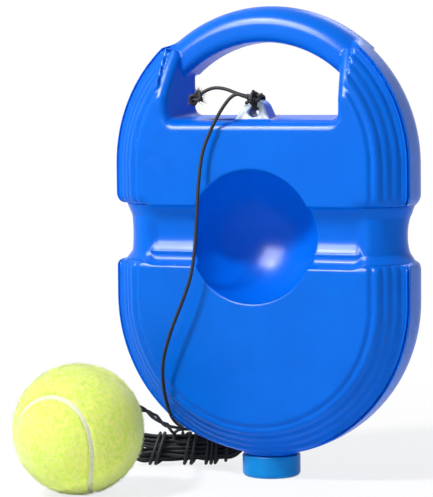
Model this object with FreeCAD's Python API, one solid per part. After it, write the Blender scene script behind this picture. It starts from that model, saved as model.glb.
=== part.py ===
import FreeCAD, Part
import math
import os
from FreeCAD import Vector

# Solo tennis trainer: a hollow blow-moulded base that stands on its screw cap, an elastic
# cord tied to a lug in the handle opening, a hank of cord on the floor and the ball on the
# far end. Millimetres. X to the right, Y to the back, Z up. The floor is z = 0 and the
# screw cap's axis is x = 0, y = 0.

# Base shell, outer form
BODY_WIDTH = 164.0
BODY_HEIGHT = 234.4
BODY_RISE = 12.2
END_R = BODY_WIDTH / 2
LOW_CENTRE_Z = BODY_RISE + END_R
HIGH_CENTRE_Z = BODY_RISE + BODY_HEIGHT - END_R
BODY_TOP_Z = BODY_RISE + BODY_HEIGHT
FRONT_DEPTH = 27.5
BACK_DEPTH = 24.0
BACK_ROUND = 24.0
WALL = 2.2
BEVEL_WIDTH = 18.5
FLAT_HALF = END_R - BEVEL_WIDTH
BAND_FRONT = 9.0
FACE_ROUND = 2.2

# Concentric ribs on the front bevel
RIB_COUNT = 4
RIB_INSET_X = 2.5
RIB_INSET_Y = 1.5
RIB_BULGE = 1.45
RIB_ROOT = 1.2
RIB_END_INSET = 30.0
RIB_END_X = END_R - RIB_END_INSET

# Waist channel that the cord is wound into
WAIST_DROP = 1.6
WAIST_Z = BODY_RISE + BODY_HEIGHT / 2 - WAIST_DROP
WAIST_END_INSET = 27.5
WAIST_CENTRE_X = END_R - WAIST_END_INSET
WAIST_R = 19.5
COVE_HALF = 12.0
COVE_DEPTH = 3.4
LIP_DEPTH = 7.2
LIP_HALF = 15.6
LIP_ROUND = 2.2
WAIST_REACH = 32.0

# Ball seat in the front
SEAT_R = 34.7
SEAT_LIFT = 0.6

# Handle opening and bar
SHOULDER_MID = 40.2
SHOULDER_FRONT = 34.0
SHOULDER_BACK = 29.6
POCKET_HALF_MID = END_R - SHOULDER_MID
POCKET_HALF_FRONT = END_R - SHOULDER_FRONT
POCKET_HALF_BACK = END_R - SHOULDER_BACK
LEDGE_RISE_MID = 25.4
LEDGE_RISE_FRONT = 22.4
LEDGE_Z_MID = HIGH_CENTRE_Z + LEDGE_RISE_MID
LEDGE_Z_FRONT = HIGH_CENTRE_Z + LEDGE_RISE_FRONT
POCKET_CORNER = 4.5
SHOULDER_ROUND = 4.2
BAR_THICK = 18.8
BAR_INNER_R = END_R - BAR_THICK
BAR_HALF_DEPTH = 12.0
BAR_OUTER_ROUND = 6.0
BAR_INNER_ROUND = 4.5
BAR_END_INSET = 26.0
BAR_REACH_X = END_R - BAR_END_INSET

# Cord lug on the ledge
LUG_HALF_WIDTH = 9.5
LUG_FRONT_Y = -22.7
LUG_BACK_Y = -9.8
LUG_HOLE_R = 2.8
LUG_HOLE_RISE = 5.0
LUG_EYE_WALL = 3.6
LUG_EDGE_ROUND = 1.0
LUG_SINK = 2.0

# Neck, cap and liner
NECK_R = 12.45
NECK_BORE_R = 10.85
NECK_FOOT_Z = 3.25
COLLAR_R = 14.6
COLLAR_HEIGHT = 0.9
CAP_R = 15.3
CAP_TOP_Z = 11.6
CAP_FLOOR = 2.0
CAP_BORE_R = 12.8
CAP_FOOT_ROUND = 2.4
CAP_LIP_ROUND = 0.6
LINER_R = 12.5
LINER_LOW_Z = 2.05
LINER_HEIGHT = 1.0
COLLAR_GAP = 0.3

# Ball: two rubber cups, two felt panels and the seam between them
BALL_R = 33.25
BALL_X = -70.0
BALL_Y = -88.0
FELT = 3.0
RUBBER = 3.3
FELT_GAP = 0.1
SEAM_WIDTH = 2.4
SEAM_SHARE = 0.25
SEAM_STATIONS = 48
SEAM_FACES = 16
SEAM_TURN_DEG = -142.4
SEAM_TILT_DEG = 2.9
SEAM_ROLL_DEG = -28.3
EXIT_AZIMUTH_DEG = 50.0
EXIT_RISE_DEG = 14.0
PLUG_R = 3.0
PLUG_FLANGE_R = 4.2
PLUG_FLANGE = 1.2
PLUG_GAP = 0.1
BALL_KNOT_R = 3.4
BALL_KNOT_LENGTH = 6.0
BALL_KNOT_TURNS = 2
KNOT_SEAT_GAP = 0.3
STUB_REACH = 1.0

# Elastic cord: single strand, and the two strands twisted together by the ball
CORD_R = 0.9
TWIN_R = 1.7
CORD_GAP = 0.3
ARC_SHARE = 0.45

# Lug knot: a loop through the lug and a stopper on its front
LOOP_FRONT_Y = -24.1
LOOP_BACK_Y = -8.4
LOOP_TOP_Z = 200.6
LOOP_CORNER = 2.6
LOOP_X = 0.0
KNOT_R = 3.1
KNOT_LENGTH = 8.6
KNOT_Y = -26.1
KNOT_Z = 199.0
KNOT_TURNS = 3

# Tail of the cord and its stopper knot
TAIL_KNOT_R = 2.9
TAIL_KNOT_LENGTH = 7.4
TAIL_KNOT_TURNS = 3

# Hank on the floor behind the base
HANK_X = -55.08
HANK_Y = 14.86
HANK_TURN_DEG = 21.5
HANK_HALF = 30.2
HANK_WAIST_HALF = 18.8
SHIFT_DELAY_SHARE = 0.25
HANK_PITCH = 2.4
HANK_ROWS = (2, 3, 3, 2)
HANK_END_R = 2.1
HANK_LEAD_R = 3.2
HANK_ENTRY_S = -7.05
HANK_EXIT_S = -2.45
WRAP_GAP = 0.5
WRAP_SLANT = 2.1
WRAP_SPREAD = 0.9
WRAP_STARTS = (-14.3, -11.5, 0.5, 3.3, 8.5, 11.3, 14.1, 17.2, 19.9)

OVERRUN = 20.0
TINY = 1e-7
GAP_APART = 8


def path(start, *steps):
    """A closed or open wire: each step is an end point, or a middle and an end point."""
    edges = []
    here = start
    for step in steps:
        if isinstance(step, tuple):
            middle, end = step
            edges.append(Part.Arc(here, middle, end).toShape())
        else:
            end = step
            edges.append(Part.LineSegment(here, end).toShape())
        here = end
    return Part.Wire(edges)


def plate_wire(inset, centre_z):
    """Half section of the plate: flat front, bevel, side band, big back round."""
    front = -(FRONT_DEPTH - inset)
    back = BACK_DEPTH - inset
    side = END_R - inset
    round_r = BACK_ROUND - inset
    flat = FLAT_HALF - inset / 2
    band = -(BAND_FRONT - inset / 2)
    turn = math.radians(45)
    shoulder = Vector(side - round_r * (1 - math.cos(turn)), back - round_r * (1 - math.sin(turn)), centre_z)
    corner = Vector(side, back - round_r, centre_z)
    return path(
        Vector(0, front, centre_z),
        Vector(flat, front, centre_z),
        Vector(side, band, centre_z),
        corner,
        (shoulder, Vector(side - round_r, back, centre_z)),
        Vector(0, back, centre_z),
        Vector(0, front, centre_z),
    )


def rib_points():
    """Valleys between the ribs, from the flat front out to the side band."""
    first = Vector(FLAT_HALF + RIB_INSET_X, -(FRONT_DEPTH - RIB_INSET_Y), 0)
    last = Vector(END_R - RIB_INSET_Y, -(BAND_FRONT + RIB_INSET_X), 0)
    step = (last - first) / RIB_COUNT
    return [first + step * i for i in range(RIB_COUNT + 1)], step


def rib_wire(centre_z):
    """Section of the ribbed band: round ridges on a line sunk under the bevel."""
    valleys, step = rib_points()
    outward = Vector(step.y, -step.x, 0).normalize()
    lift = Vector(0, 0, centre_z)
    steps = []
    for i in range(RIB_COUNT):
        crest = (valleys[i] + valleys[i + 1]) / 2 + outward * RIB_BULGE
        steps.append((crest + lift, valleys[i + 1] + lift))
    root_out = valleys[-1] - outward * RIB_ROOT + lift
    root_in = valleys[0] - outward * RIB_ROOT + lift
    return path(valleys[0] + lift, *steps, root_out, root_in, valleys[0] + lift)


def racetrack(wire_at):
    """Turn a half section round both end centres and join the turns with straight sides."""
    low = Part.Face(wire_at(LOW_CENTRE_Z))
    high = Part.Face(wire_at(HIGH_CENTRE_Z))
    mirrored = low.mirror(Vector(0, 0, 0), Vector(1, 0, 0))
    rise = Vector(0, 0, HIGH_CENTRE_Z - LOW_CENTRE_Z)
    lower = low.revolve(Vector(0, 0, LOW_CENTRE_Z), Vector(0, 1, 0), 180)
    upper = high.revolve(Vector(0, 0, HIGH_CENTRE_Z), Vector(0, 1, 0), -180)
    return low.extrude(rise).fuse([mirrored.extrude(rise), lower, upper]).removeSplitter()


def pocket_wire(half, ledge_z, y, grow):
    """Outline of the handle opening at one depth, open far above the body."""
    top = BODY_TOP_Z + OVERRUN
    x = half + grow
    low = ledge_z - grow
    r = POCKET_CORNER + grow
    bend = r * (1 - math.cos(math.radians(45)))
    return path(
        Vector(-x, y, top),
        Vector(-x, y, low + r),
        (Vector(-x + bend, y, low + bend), Vector(-x + r, y, low)),
        Vector(x - r, y, low),
        (Vector(x - bend, y, low + bend), Vector(x, y, low + r)),
        Vector(x, y, top),
        Vector(-x, y, top),
    )


def handle_pocket(grow):
    """Opening under the handle, drafted from the middle to the front and to the back."""
    halves = []
    for side in (-1, 1):
        depth = FRONT_DEPTH if side < 0 else BACK_DEPTH
        half = POCKET_HALF_FRONT if side < 0 else POCKET_HALF_BACK
        draft = (half - POCKET_HALF_MID) / depth
        slope = (LEDGE_Z_MID - LEDGE_Z_FRONT) / FRONT_DEPTH
        reach = depth + OVERRUN
        middle = pocket_wire(POCKET_HALF_MID, LEDGE_Z_MID, 0, grow)
        outer = pocket_wire(POCKET_HALF_MID + draft * reach, LEDGE_Z_MID - slope * reach, side * reach, grow)
        halves.append(Part.makeLoft([middle, outer], True, True))
    return halves[0].fuse(halves[1])


def waist_cutter(grow):
    """What lies outside the waist: a double cove turned round a stadium plan."""
    base = WAIST_R - grow
    far = WAIST_R + WAIST_REACH
    cove = WAIST_R + COVE_DEPTH - grow
    lip = WAIST_R + LIP_DEPTH - grow
    cove_z = COVE_HALF + grow
    lip_z = LIP_HALF + grow
    flare = lip + LIP_ROUND
    flare_z = lip_z + LIP_ROUND
    bend = math.sin(math.radians(45))

    def section(x, y_sign):
        """Cutter section in the plane through the waist axis; radius runs towards y_sign."""
        def at(radius, z):
            return Vector(x, y_sign * radius, WAIST_Z + z)
        upper = (at(lip - (lip - cove) * bend, cove_z + (lip_z - cove_z) * bend), at(lip, lip_z))
        lower = (at(lip - (lip - cove) * bend, -cove_z - (lip_z - cove_z) * bend), at(cove, -cove_z))
        top = (at(lip + LIP_ROUND * bend, lip_z + LIP_ROUND * (1 - bend)), at(flare, flare_z))
        foot = (at(lip + LIP_ROUND * bend, -lip_z - LIP_ROUND * (1 - bend)), at(lip, -lip_z))
        return Part.Face(path(
            at(cove, cove_z), upper, top, at(far, flare_z), at(far, -flare_z), at(flare, -flare_z),
            foot, lower, (at(base, 0), at(cove, cove_z)),
        ))

    run = Vector(2 * WAIST_CENTRE_X, 0, 0)
    parts = [section(-WAIST_CENTRE_X, sign).extrude(run) for sign in (-1, 1)]
    for side in (-1, 1):
        axis = Vector(side * WAIST_CENTRE_X, 0, 0)
        parts.append(section(side * WAIST_CENTRE_X, -1).revolve(axis, Vector(0, 0, 1), side * 180))
    return parts[0].fuse(parts[1:])


def handle_bar(inset):
    """Rounded bar turned round the upper end centre, with its ends inside the shoulders."""
    inner = BAR_INNER_R + inset
    outer = END_R - inset
    half = BAR_HALF_DEPTH - inset
    big = BAR_OUTER_ROUND - inset
    small = BAR_INNER_ROUND - inset
    bend = 1 - math.cos(math.radians(45))
    z = HIGH_CENTRE_Z
    profile = path(
        Vector(inner + small, -half, z),
        Vector(outer - big, -half, z),
        (Vector(outer - big * bend, -half + big * bend, z), Vector(outer, -half + big, z)),
        Vector(outer, half - big, z),
        (Vector(outer - big * bend, half - big * bend, z), Vector(outer - big, half, z)),
        Vector(inner + small, half, z),
        (Vector(inner + small * bend, half - small * bend, z), Vector(inner, half - small, z)),
        Vector(inner, -half + small, z),
        (Vector(inner + small * bend, -half + small * bend, z), Vector(inner + small, -half, z)),
    )
    reach = math.degrees(math.asin(BAR_REACH_X / END_R))
    face = Part.Face(profile)
    face.rotate(Vector(0, 0, z), Vector(0, 1, 0), -(90 - reach))
    return face.revolve(Vector(0, 0, z), Vector(0, 1, 0), -2 * reach)


def seat_ball(grow):
    """The ball seat's sphere."""
    return Part.makeSphere(SEAT_R + grow, Vector(0, -(FRONT_DEPTH - SEAT_LIFT), WAIST_Z))


def smooth_body(inset):
    """The plate with the handle opening let in, before the waist, the seat and the ribs."""
    plate = racetrack(lambda z: plate_wire(inset, z)).cut(handle_pocket(inset))
    return plate.removeSplitter().Solids[0]


def round_shoulders(body):
    """Round the front edges of the shoulders and of the ledge between them."""
    limit = -(FRONT_DEPTH + BAND_FRONT) / 2
    shoulders = []
    for edge in body.Edges:
        box = edge.BoundBox
        front = box.YMin < limit and box.ZMin > LEDGE_Z_FRONT - POCKET_CORNER
        inside = max(abs(box.XMin), abs(box.XMax)) < POCKET_HALF_FRONT + SHOULDER_ROUND
        if front and inside:
            shoulders.append(edge)
    return body.makeFillet(SHOULDER_ROUND, shoulders)


def rib_band():
    """The ribs, left off between the shoulders."""
    band = racetrack(rib_wire)
    width = 2 * RIB_END_X
    height = BODY_TOP_Z - HIGH_CENTRE_Z + OVERRUN
    gap = Part.makeBox(width, 2 * OVERRUN + FRONT_DEPTH, height,
                       Vector(-RIB_END_X, -FRONT_DEPTH - OVERRUN, HIGH_CENTRE_Z))
    return band.cut(gap)


def cord_lug():
    """Tab on the ledge that narrows to a round eye, with the cord's hole through it."""
    hole_z = LEDGE_Z_FRONT + LUG_HOLE_RISE
    eye_r = LUG_HOLE_R + LUG_EYE_WALL
    reach = math.hypot(LUG_HALF_WIDTH, LUG_HOLE_RISE)
    lean = math.acos(eye_r / reach) - math.atan2(LUG_HOLE_RISE, LUG_HALF_WIDTH)
    side_x = eye_r * math.cos(lean)
    side_z = hole_z + eye_r * math.sin(lean)
    foot = LEDGE_Z_FRONT - LUG_SINK
    foot_x = LUG_HALF_WIDTH + LUG_SINK * math.tan(lean)

    def at(x, z):
        return Vector(x, LUG_FRONT_Y, z)

    outline = path(
        at(-foot_x, foot),
        at(foot_x, foot),
        at(side_x, side_z),
        (at(0, hole_z + eye_r), at(-side_x, side_z)),
        at(-foot_x, foot),
    )
    depth = LUG_BACK_Y - LUG_FRONT_Y
    block = Part.Face(outline).extrude(Vector(0, depth, 0))
    rims = []
    for edge in block.Edges:
        box = edge.BoundBox
        if box.YLength < TINY + depth / 2 and box.ZMax > LEDGE_Z_FRONT:
            rims.append(edge)
    block = block.makeFillet(LUG_EDGE_ROUND, rims)
    hole = Part.makeCylinder(LUG_HOLE_R, depth + 2 * OVERRUN, at(0, hole_z) - Vector(0, OVERRUN, 0),
                             Vector(0, 1, 0))
    return block, hole


def make_base_shell():
    """Hollow base: ribbed plate, waist, seat, handle bar, cord lug and neck."""
    skin = round_shoulders(smooth_body(0))
    skin = skin.fuse([rib_band(), handle_bar(0)])
    skin = skin.cut(waist_cutter(0)).cut(seat_ball(0))
    tank = smooth_body(WALL).fuse(handle_bar(WALL)).cut(waist_cutter(WALL)).cut(seat_ball(WALL))
    shell = skin.cut(tank)
    block, hole = cord_lug()
    shell = shell.fuse(block).cut(hole)
    collar_low = CAP_TOP_Z + COLLAR_GAP
    collar = Part.makeCylinder(COLLAR_R, COLLAR_HEIGHT + WALL, Vector(0, 0, collar_low))
    neck = Part.makeCylinder(NECK_R, BODY_RISE + WALL - NECK_FOOT_Z, Vector(0, 0, NECK_FOOT_Z))
    bore = Part.makeCylinder(NECK_BORE_R, BODY_RISE + 2 * WALL - NECK_FOOT_Z + OVERRUN,
                             Vector(0, 0, NECK_FOOT_Z - OVERRUN))
    mouth = collar.fuse(neck).cut(tank)
    return shell.fuse(mouth).cut(bore).removeSplitter().Solids[0]


def turned_ring(points):
    """Solid of revolution about the cap's axis from its half section."""
    return Part.Face(path(*points)).revolve(Vector(0, 0, 0), Vector(0, 0, 1), 360)


def make_screw_cap():
    """Smooth round cap with a rolled foot."""
    foot = CAP_FOOT_ROUND
    lip = CAP_LIP_ROUND
    bend = math.sin(math.radians(45))
    return turned_ring((
        Vector(0, 0, 0),
        Vector(CAP_R - foot, 0, 0),
        (Vector(CAP_R - foot * (1 - bend), 0, foot * (1 - bend)), Vector(CAP_R, 0, foot)),
        Vector(CAP_R, 0, CAP_TOP_Z - lip),
        (Vector(CAP_R - lip * (1 - bend), 0, CAP_TOP_Z - lip * (1 - bend)),
         Vector(CAP_R - lip, 0, CAP_TOP_Z)),
        Vector(CAP_BORE_R, 0, CAP_TOP_Z),
        Vector(CAP_BORE_R, 0, CAP_FLOOR),
        Vector(0, 0, CAP_FLOOR),
        Vector(0, 0, 0),
    ))


def make_cap_liner():
    """Sealing disc that the neck presses on."""
    return Part.makeCylinder(LINER_R, LINER_HEIGHT, Vector(0, 0, LINER_LOW_Z))


def ball_centre():
    """Centre of the ball where it rests on the floor."""
    return Vector(BALL_X, BALL_Y, BALL_R)


def ball_exit():
    """Direction in which the cord leaves the ball."""
    rise = math.radians(EXIT_RISE_DEG)
    turn = math.radians(EXIT_AZIMUTH_DEG)
    return Vector(math.cos(rise) * math.cos(turn), math.cos(rise) * math.sin(turn), math.sin(rise))


def seam_points(radius, offset):
    """The ball's seam, a closed wave on the sphere, moved sideways by an offset."""
    wave = 1 - SEAM_SHARE
    height = 2 * math.sqrt(wave * SEAM_SHARE)

    def on_sphere(t):
        return Vector(wave * math.cos(t) + SEAM_SHARE * math.cos(3 * t),
                      wave * math.sin(t) - SEAM_SHARE * math.sin(3 * t),
                      height * math.sin(2 * t))

    points = []
    for i in range(SEAM_STATIONS):
        t = 2 * math.pi * i / SEAM_STATIONS
        here = on_sphere(t)
        ahead = on_sphere(t + math.pi / SEAM_STATIONS) - on_sphere(t - math.pi / SEAM_STATIONS)
        side = ahead.cross(here).normalize()
        points.append((here + side * (offset / BALL_R)).normalize() * radius)
    return points


def seam_cutter(offset):
    """Cone from the ball's centre through the seam line, as a shell of ruled faces."""
    pieces = []
    for radius in (BALL_R - FELT - RUBBER, BALL_R + OVERRUN / 2):
        curve = Part.BSplineCurve()
        curve.interpolate(seam_points(radius, offset), PeriodicFlag=True)
        first = curve.FirstParameter
        step = (curve.LastParameter - first) / SEAM_FACES
        pieces.append([curve.toShape(first + step * i, first + step * (i + 1)) for i in range(SEAM_FACES)])
    faces = [Part.makeRuledSurface(inner, outer) for inner, outer in zip(*pieces)]
    return Part.makeShell(faces)


def sphere_shell(outer, inner):
    """Hollow ball about the origin."""
    return Part.makeSphere(outer).cut(Part.makeSphere(inner))


def seam_frame(shape):
    """Turn a piece of the ball from the seam's own axes to where the ball lies."""
    turn = FreeCAD.Rotation(SEAM_TURN_DEG, SEAM_TILT_DEG, SEAM_ROLL_DEG)
    shape.Placement = FreeCAD.Placement(ball_centre(), turn)
    return shape


def plug_bore():
    """Hole through the ball's wall for the plug."""
    reach = FELT + RUBBER + OVERRUN
    start = ball_centre() + ball_exit() * (BALL_R - FELT - RUBBER - OVERRUN / 2)
    return Part.makeCylinder(PLUG_R + PLUG_GAP, reach, start, ball_exit())


def make_ball():
    """Felt panels, seam and rubber cups, each bored for the plug."""
    felt = sphere_shell(BALL_R, BALL_R - FELT)
    cutters = [seam_cutter(-SEAM_WIDTH / 2), seam_cutter(SEAM_WIDTH / 2)]
    pieces = felt.generalFuse(cutters)[0].Solids
    pieces.sort(key=lambda piece: piece.Volume)
    pieces[1:] = sorted(pieces[1:], key=lambda piece: piece.CenterOfMass.z)
    bore = plug_bore()
    flange = Part.makeCylinder(PLUG_FLANGE_R + PLUG_GAP, OVERRUN,
                               ball_centre() + ball_exit() * (BALL_R - PLUG_FLANGE - PLUG_GAP), ball_exit())
    nodes = {}
    for name, piece in zip(("ball_seam", "felt_panel_a", "felt_panel_b"), pieces):
        nodes[name] = seam_frame(piece).cut(bore).cut(flange).Solids[0]
    rubber_out = BALL_R - FELT - FELT_GAP
    for name, tilt in (("core_half_a", 0), ("core_half_b", 180)):
        cup = sphere_shell(rubber_out, rubber_out - RUBBER)
        half = Part.makeBox(2 * BALL_R, 2 * BALL_R, BALL_R, Vector(-BALL_R, -BALL_R, 0))
        half.rotate(Vector(0, 0, 0), Vector(1, 0, 0), tilt)
        nodes[name] = seam_frame(cup.common(half)).cut(bore).Solids[0]
    return nodes


def along_exit(distance):
    """Point on the cord's line out of the ball, from the ball's centre."""
    return ball_centre() + ball_exit() * distance


def make_ball_plug():
    """Flanged rubber plug with the cord's bore."""
    low = BALL_R - FELT - FELT_GAP - RUBBER
    stem = Part.makeCylinder(PLUG_R, BALL_R - low - PLUG_FLANGE, along_exit(low), ball_exit())
    flange = Part.makeCylinder(PLUG_FLANGE_R, PLUG_FLANGE, along_exit(BALL_R - PLUG_FLANGE), ball_exit())
    bore = Part.makeCylinder(TWIN_R + PLUG_GAP, OVERRUN + BALL_R, along_exit(low - OVERRUN / 2), ball_exit())
    return stem.fuse(flange).cut(bore).removeSplitter().Solids[0]


def barrel_knot(start, end, radius, turns):
    """Stopper knot: turns of cord side by side round a straight strand."""
    axis = end - start
    length = axis.Length
    step = length / turns
    inner = radius - step / 2
    points = [Vector(0, 0, 0), Vector(inner, 0, 0)]
    for i in range(turns):
        points.append((Vector(radius, 0, step * (i + 0.5)), Vector(inner, 0, step * (i + 1))))
    points += [Vector(0, 0, length), Vector(0, 0, 0)]
    solid = Part.Face(path(*points)).revolve(Vector(0, 0, 0), Vector(0, 0, 1), 360)
    solid.Placement = FreeCAD.Placement(start, FreeCAD.Rotation(Vector(0, 0, 1), axis))
    return solid


def cord_tube(name, points, radius):
    """Round tube along straight runs joined by tangent arcs, with its bends printed."""
    edges = []
    here = points[0]
    bends = []
    for i in range(1, len(points) - 1):
        before = points[i] - points[i - 1]
        after = points[i + 1] - points[i]
        turn = before.getAngle(after)
        trim = ARC_SHARE * min(before.Length, after.Length)
        bend = trim / math.tan(turn / 2)
        bends.append(bend)
        entry = points[i] - before.normalize() * trim
        leave = points[i] + after.normalize() * trim
        inward = (entry + leave) / 2 - points[i]
        reach = bend / math.cos(turn / 2) - bend
        middle = points[i] + inward.normalize() * reach
        edges.append(Part.LineSegment(here, entry).toShape())
        edges.append(Part.Arc(entry, middle, leave).toShape())
        here = leave
    edges.append(Part.LineSegment(here, points[-1]).toShape())
    spine = Part.Wire(edges)
    first = points[1] - points[0]
    circle = Part.Wire(Part.makeCircle(radius, points[0], first))
    tube = spine.makePipeShell([circle], True, False)
    expected = math.pi * radius ** 2 * spine.Length
    print(name, "length", round(spine.Length, 1), "least bend", round(min(bends), 1),
          "volume ratio", round(tube.Volume / expected, 4))
    return tube


def route(table):
    """Route points from a table of places."""
    return [Vector(*place) for place in table]


def biarc(start, start_way, end, end_way):
    """Two arcs that leave one place along its way and reach the other along its own."""
    span = end - start
    ways = start_way + end_way
    if span.cross(start_way).Length + span.cross(end_way).Length < TINY * span.Length:
        return [Part.LineSegment(start, end)]
    a = 2 * (1 - start_way.dot(end_way))
    b = 2 * span.dot(ways)
    c = -span.dot(span)
    if a < TINY:
        reach = -c / b
    else:
        reach = (-b + math.sqrt(b * b - 4 * a * c)) / (2 * a)
    first = start + start_way * reach
    last = end - end_way * reach
    joint = (first + last) / 2
    return [arc_or_line(start, start_way, joint), arc_or_line(joint, (last - first).normalize(), end)]


def arc_or_line(start, way, end):
    """Arc from a start along its way to an end, or a line where both point alike."""
    chord = end - start
    rise = chord.cross(way)
    if rise.Length < TINY * chord.Length:
        return Part.LineSegment(start, end)
    turn = chord.getAngle(way)
    sideways = (chord.cross(rise)).normalize()
    if sideways.dot(way) < 0:
        sideways = sideways * -1
    middle = (start + end) / 2 + sideways * (chord.Length / 2 * math.tan(turn / 2))
    return Part.Arc(start, middle, end)


def stations_tube(name, stations, radius):
    """Pipe along biarcs through stations of (place, way), with its least gap to itself printed."""
    curves = []
    for (place, way), (after, after_way) in zip(stations, stations[1:]):
        if (after - place).Length > TINY:
            curves += biarc(place, way, after, after_way)
    edges = [curve.toShape() for curve in curves]
    spine = Part.Wire(edges)
    circle = Part.Wire(Part.makeCircle(radius, stations[0][0], stations[0][1]))
    tube = spine.makePipeShell([circle], True, False)
    points, lengths = walk(edges)
    expected = math.pi * radius ** 2 * spine.Length
    print(name, "length", round(spine.Length, 1), "arcs", len(edges),
          "least bend", round(least_bend(edges), 2),
          "least gap", round(least_gap(points, lengths, radius), 2),
          "volume ratio", round(tube.Volume / expected, 4))
    return tube


def least_bend(edges):
    """Smallest radius among the arcs."""
    return min(edge.Curve.Radius for edge in edges if hasattr(edge.Curve, "Radius"))


def walk(edges):
    """Points along the edges half a cord radius apart at most, with the length to each."""
    points = []
    lengths = []
    done = 0.0
    for edge in edges:
        count = max(2, math.ceil(edge.Length / (CORD_R / 2)))
        for i, point in enumerate(edge.discretize(Number=count + 1)[:-1]):
            points.append(point)
            lengths.append(done + edge.Length * i / count)
        done += edge.Length
    return points, lengths


def least_gap(points, lengths, radius):
    """Least clear distance between stretches of one tube that aren't neighbours along it."""
    cell = 4 * radius
    grid = {}
    for i, point in enumerate(points):
        grid.setdefault((int(point.x // cell), int(point.y // cell), int(point.z // cell)), []).append(i)
    least = cell
    near = [(a, b, c) for a in (-1, 0, 1) for b in (-1, 0, 1) for c in (-1, 0, 1)]
    for (x, y, z), members in grid.items():
        others = [k for a, b, c in near for k in grid.get((x + a, y + b, z + c), ())]
        for i in members:
            for k in others:
                if lengths[k] - lengths[i] > GAP_APART * radius:
                    least = min(least, (points[k] - points[i]).Length)
    return least - 2 * radius


def hank_place(s, t, z):
    """Point at s along the hank, t across it towards the back, and z above the floor."""
    turn = math.radians(HANK_TURN_DEG)
    return Vector(HANK_X + s * math.cos(turn) - t * math.sin(turn),
                  HANK_Y + s * math.sin(turn) + t * math.cos(turn), z)


def hank_way(s, t, z):
    """Direction in the hank's own axes."""
    return (hank_place(s, t, z) - hank_place(0, 0, 0)).normalize()


def hank_station(s, t, z, way):
    """Place and way of one station of the hank's cord."""
    return hank_place(s, t, z), hank_way(*way)


def hank_axis_z():
    """Height of the hank's axis: the wrap lies under its lowest strand and on the floor."""
    return hank_waist(max(HANK_ROWS) - 1) + 2 * CORD_R + WRAP_GAP + CORD_R


def hank_across(layer):
    """Distance of a layer from the hank's middle, towards the back."""
    return (layer - (len(HANK_ROWS) - 1) / 2) * HANK_PITCH


def hank_waist(row):
    """Half height of a loop where the hank is drawn in."""
    return (row + 0.5) * HANK_PITCH


def hank_fan(row):
    """Radius of a loop's round end."""
    return HANK_END_R + row * HANK_PITCH


def hank_bend():
    """Distance along the hank at which the loops' round ends start."""
    return HANK_HALF - hank_fan(max(HANK_ROWS) - 1)


def hank_slots():
    """Layer and row of each loop, in the order in which the cord fills them."""
    slots = []
    for layer, rows in enumerate(HANK_ROWS):
        order = range(rows)
        if layer % 2 == 0:
            order = reversed(order)
        slots += [(layer, row) for row in order]
    return slots


def hank_end(slot, side):
    """The three stations of a loop's round end: over, outermost and under, as the cord runs."""
    layer, row = slot
    t = hank_across(layer)
    axis_z = hank_axis_z()
    s = side * hank_bend()
    fan = hank_fan(row)
    return [
        hank_station(s, t, axis_z + side * fan, (side, 0, 0)),
        hank_station(s + side * fan, t, axis_z, (0, 0, -side)),
        hank_station(s, t, axis_z - side * fan, (-side, 0, 0)),
    ]


def hank_top(slot, s):
    """Station on a loop's upper run."""
    layer, row = slot
    return hank_station(s, hank_across(layer), hank_axis_z() + hank_waist(row), (1, 0, 0))


def hank_foot(slot, s):
    """Station on a loop's lower run."""
    layer, row = slot
    return hank_station(s, hank_across(layer), hank_axis_z() - hank_waist(row), (-1, 0, 0))


def make_cord_hank():
    """Loops in upright layers that spiral in and out again and shift along their lower runs."""
    slots = hank_slots()
    turns = len(slots) - 1
    shift = 2 * HANK_WAIST_HALF / (1 + (turns - 1) * SHIFT_DELAY_SHARE)
    layer, row = slots[0]
    t = hank_across(layer)
    top = hank_axis_z() + hank_waist(row)
    lead = top + HANK_LEAD_R
    stations = [
        hank_station(HANK_ENTRY_S, t, lead + 2 * CORD_R, (0, 0, -1)),
        hank_station(HANK_ENTRY_S, t, lead, (0, 0, -1)),
        hank_top(slots[0], HANK_ENTRY_S + HANK_LEAD_R),
    ]
    for turn in range(turns):
        here, after = slots[turn], slots[turn + 1]
        start = HANK_WAIST_HALF - (turns - 1 - turn) * SHIFT_DELAY_SHARE * shift
        stations.append(hank_top(here, HANK_WAIST_HALF))
        stations += hank_end(here, 1)
        stations += [hank_foot(here, HANK_WAIST_HALF), hank_foot(here, start)]
        stations += [hank_foot(after, start - shift), hank_foot(after, -HANK_WAIST_HALF)]
        stations += hank_end(after, -1)
        stations.append(hank_top(after, -HANK_WAIST_HALF))
    layer, row = slots[-1]
    t = hank_across(layer)
    lead = hank_axis_z() + hank_waist(row) + HANK_LEAD_R
    stations.append(hank_top(slots[-1], HANK_EXIT_S - HANK_LEAD_R))
    stations.append(hank_station(HANK_EXIT_S, t, lead, (0, 0, 1)))
    stations.append(hank_station(HANK_EXIT_S, t, lead + 2 * CORD_R, (0, 0, 1)))
    return stations_tube("cord_hank", stations, CORD_R)


def wrap_place(turn, share):
    """Place on the wrap: slanted down the front of the hank, stepping ahead up its back."""
    angle = 2 * math.pi * share
    tall = hank_axis_z() - CORD_R
    deep = hank_across(len(HANK_ROWS) - 1) + 2 * CORD_R + WRAP_GAP + WRAP_SPREAD
    step = WRAP_STARTS[turn + 1] - WRAP_STARTS[turn]
    ahead = step * max(0, 2 * share - 1)
    s = WRAP_STARTS[turn] + ahead + WRAP_SLANT * math.cos(angle)
    return s, -deep * math.sin(angle), hank_axis_z() + tall * math.cos(angle)


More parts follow.
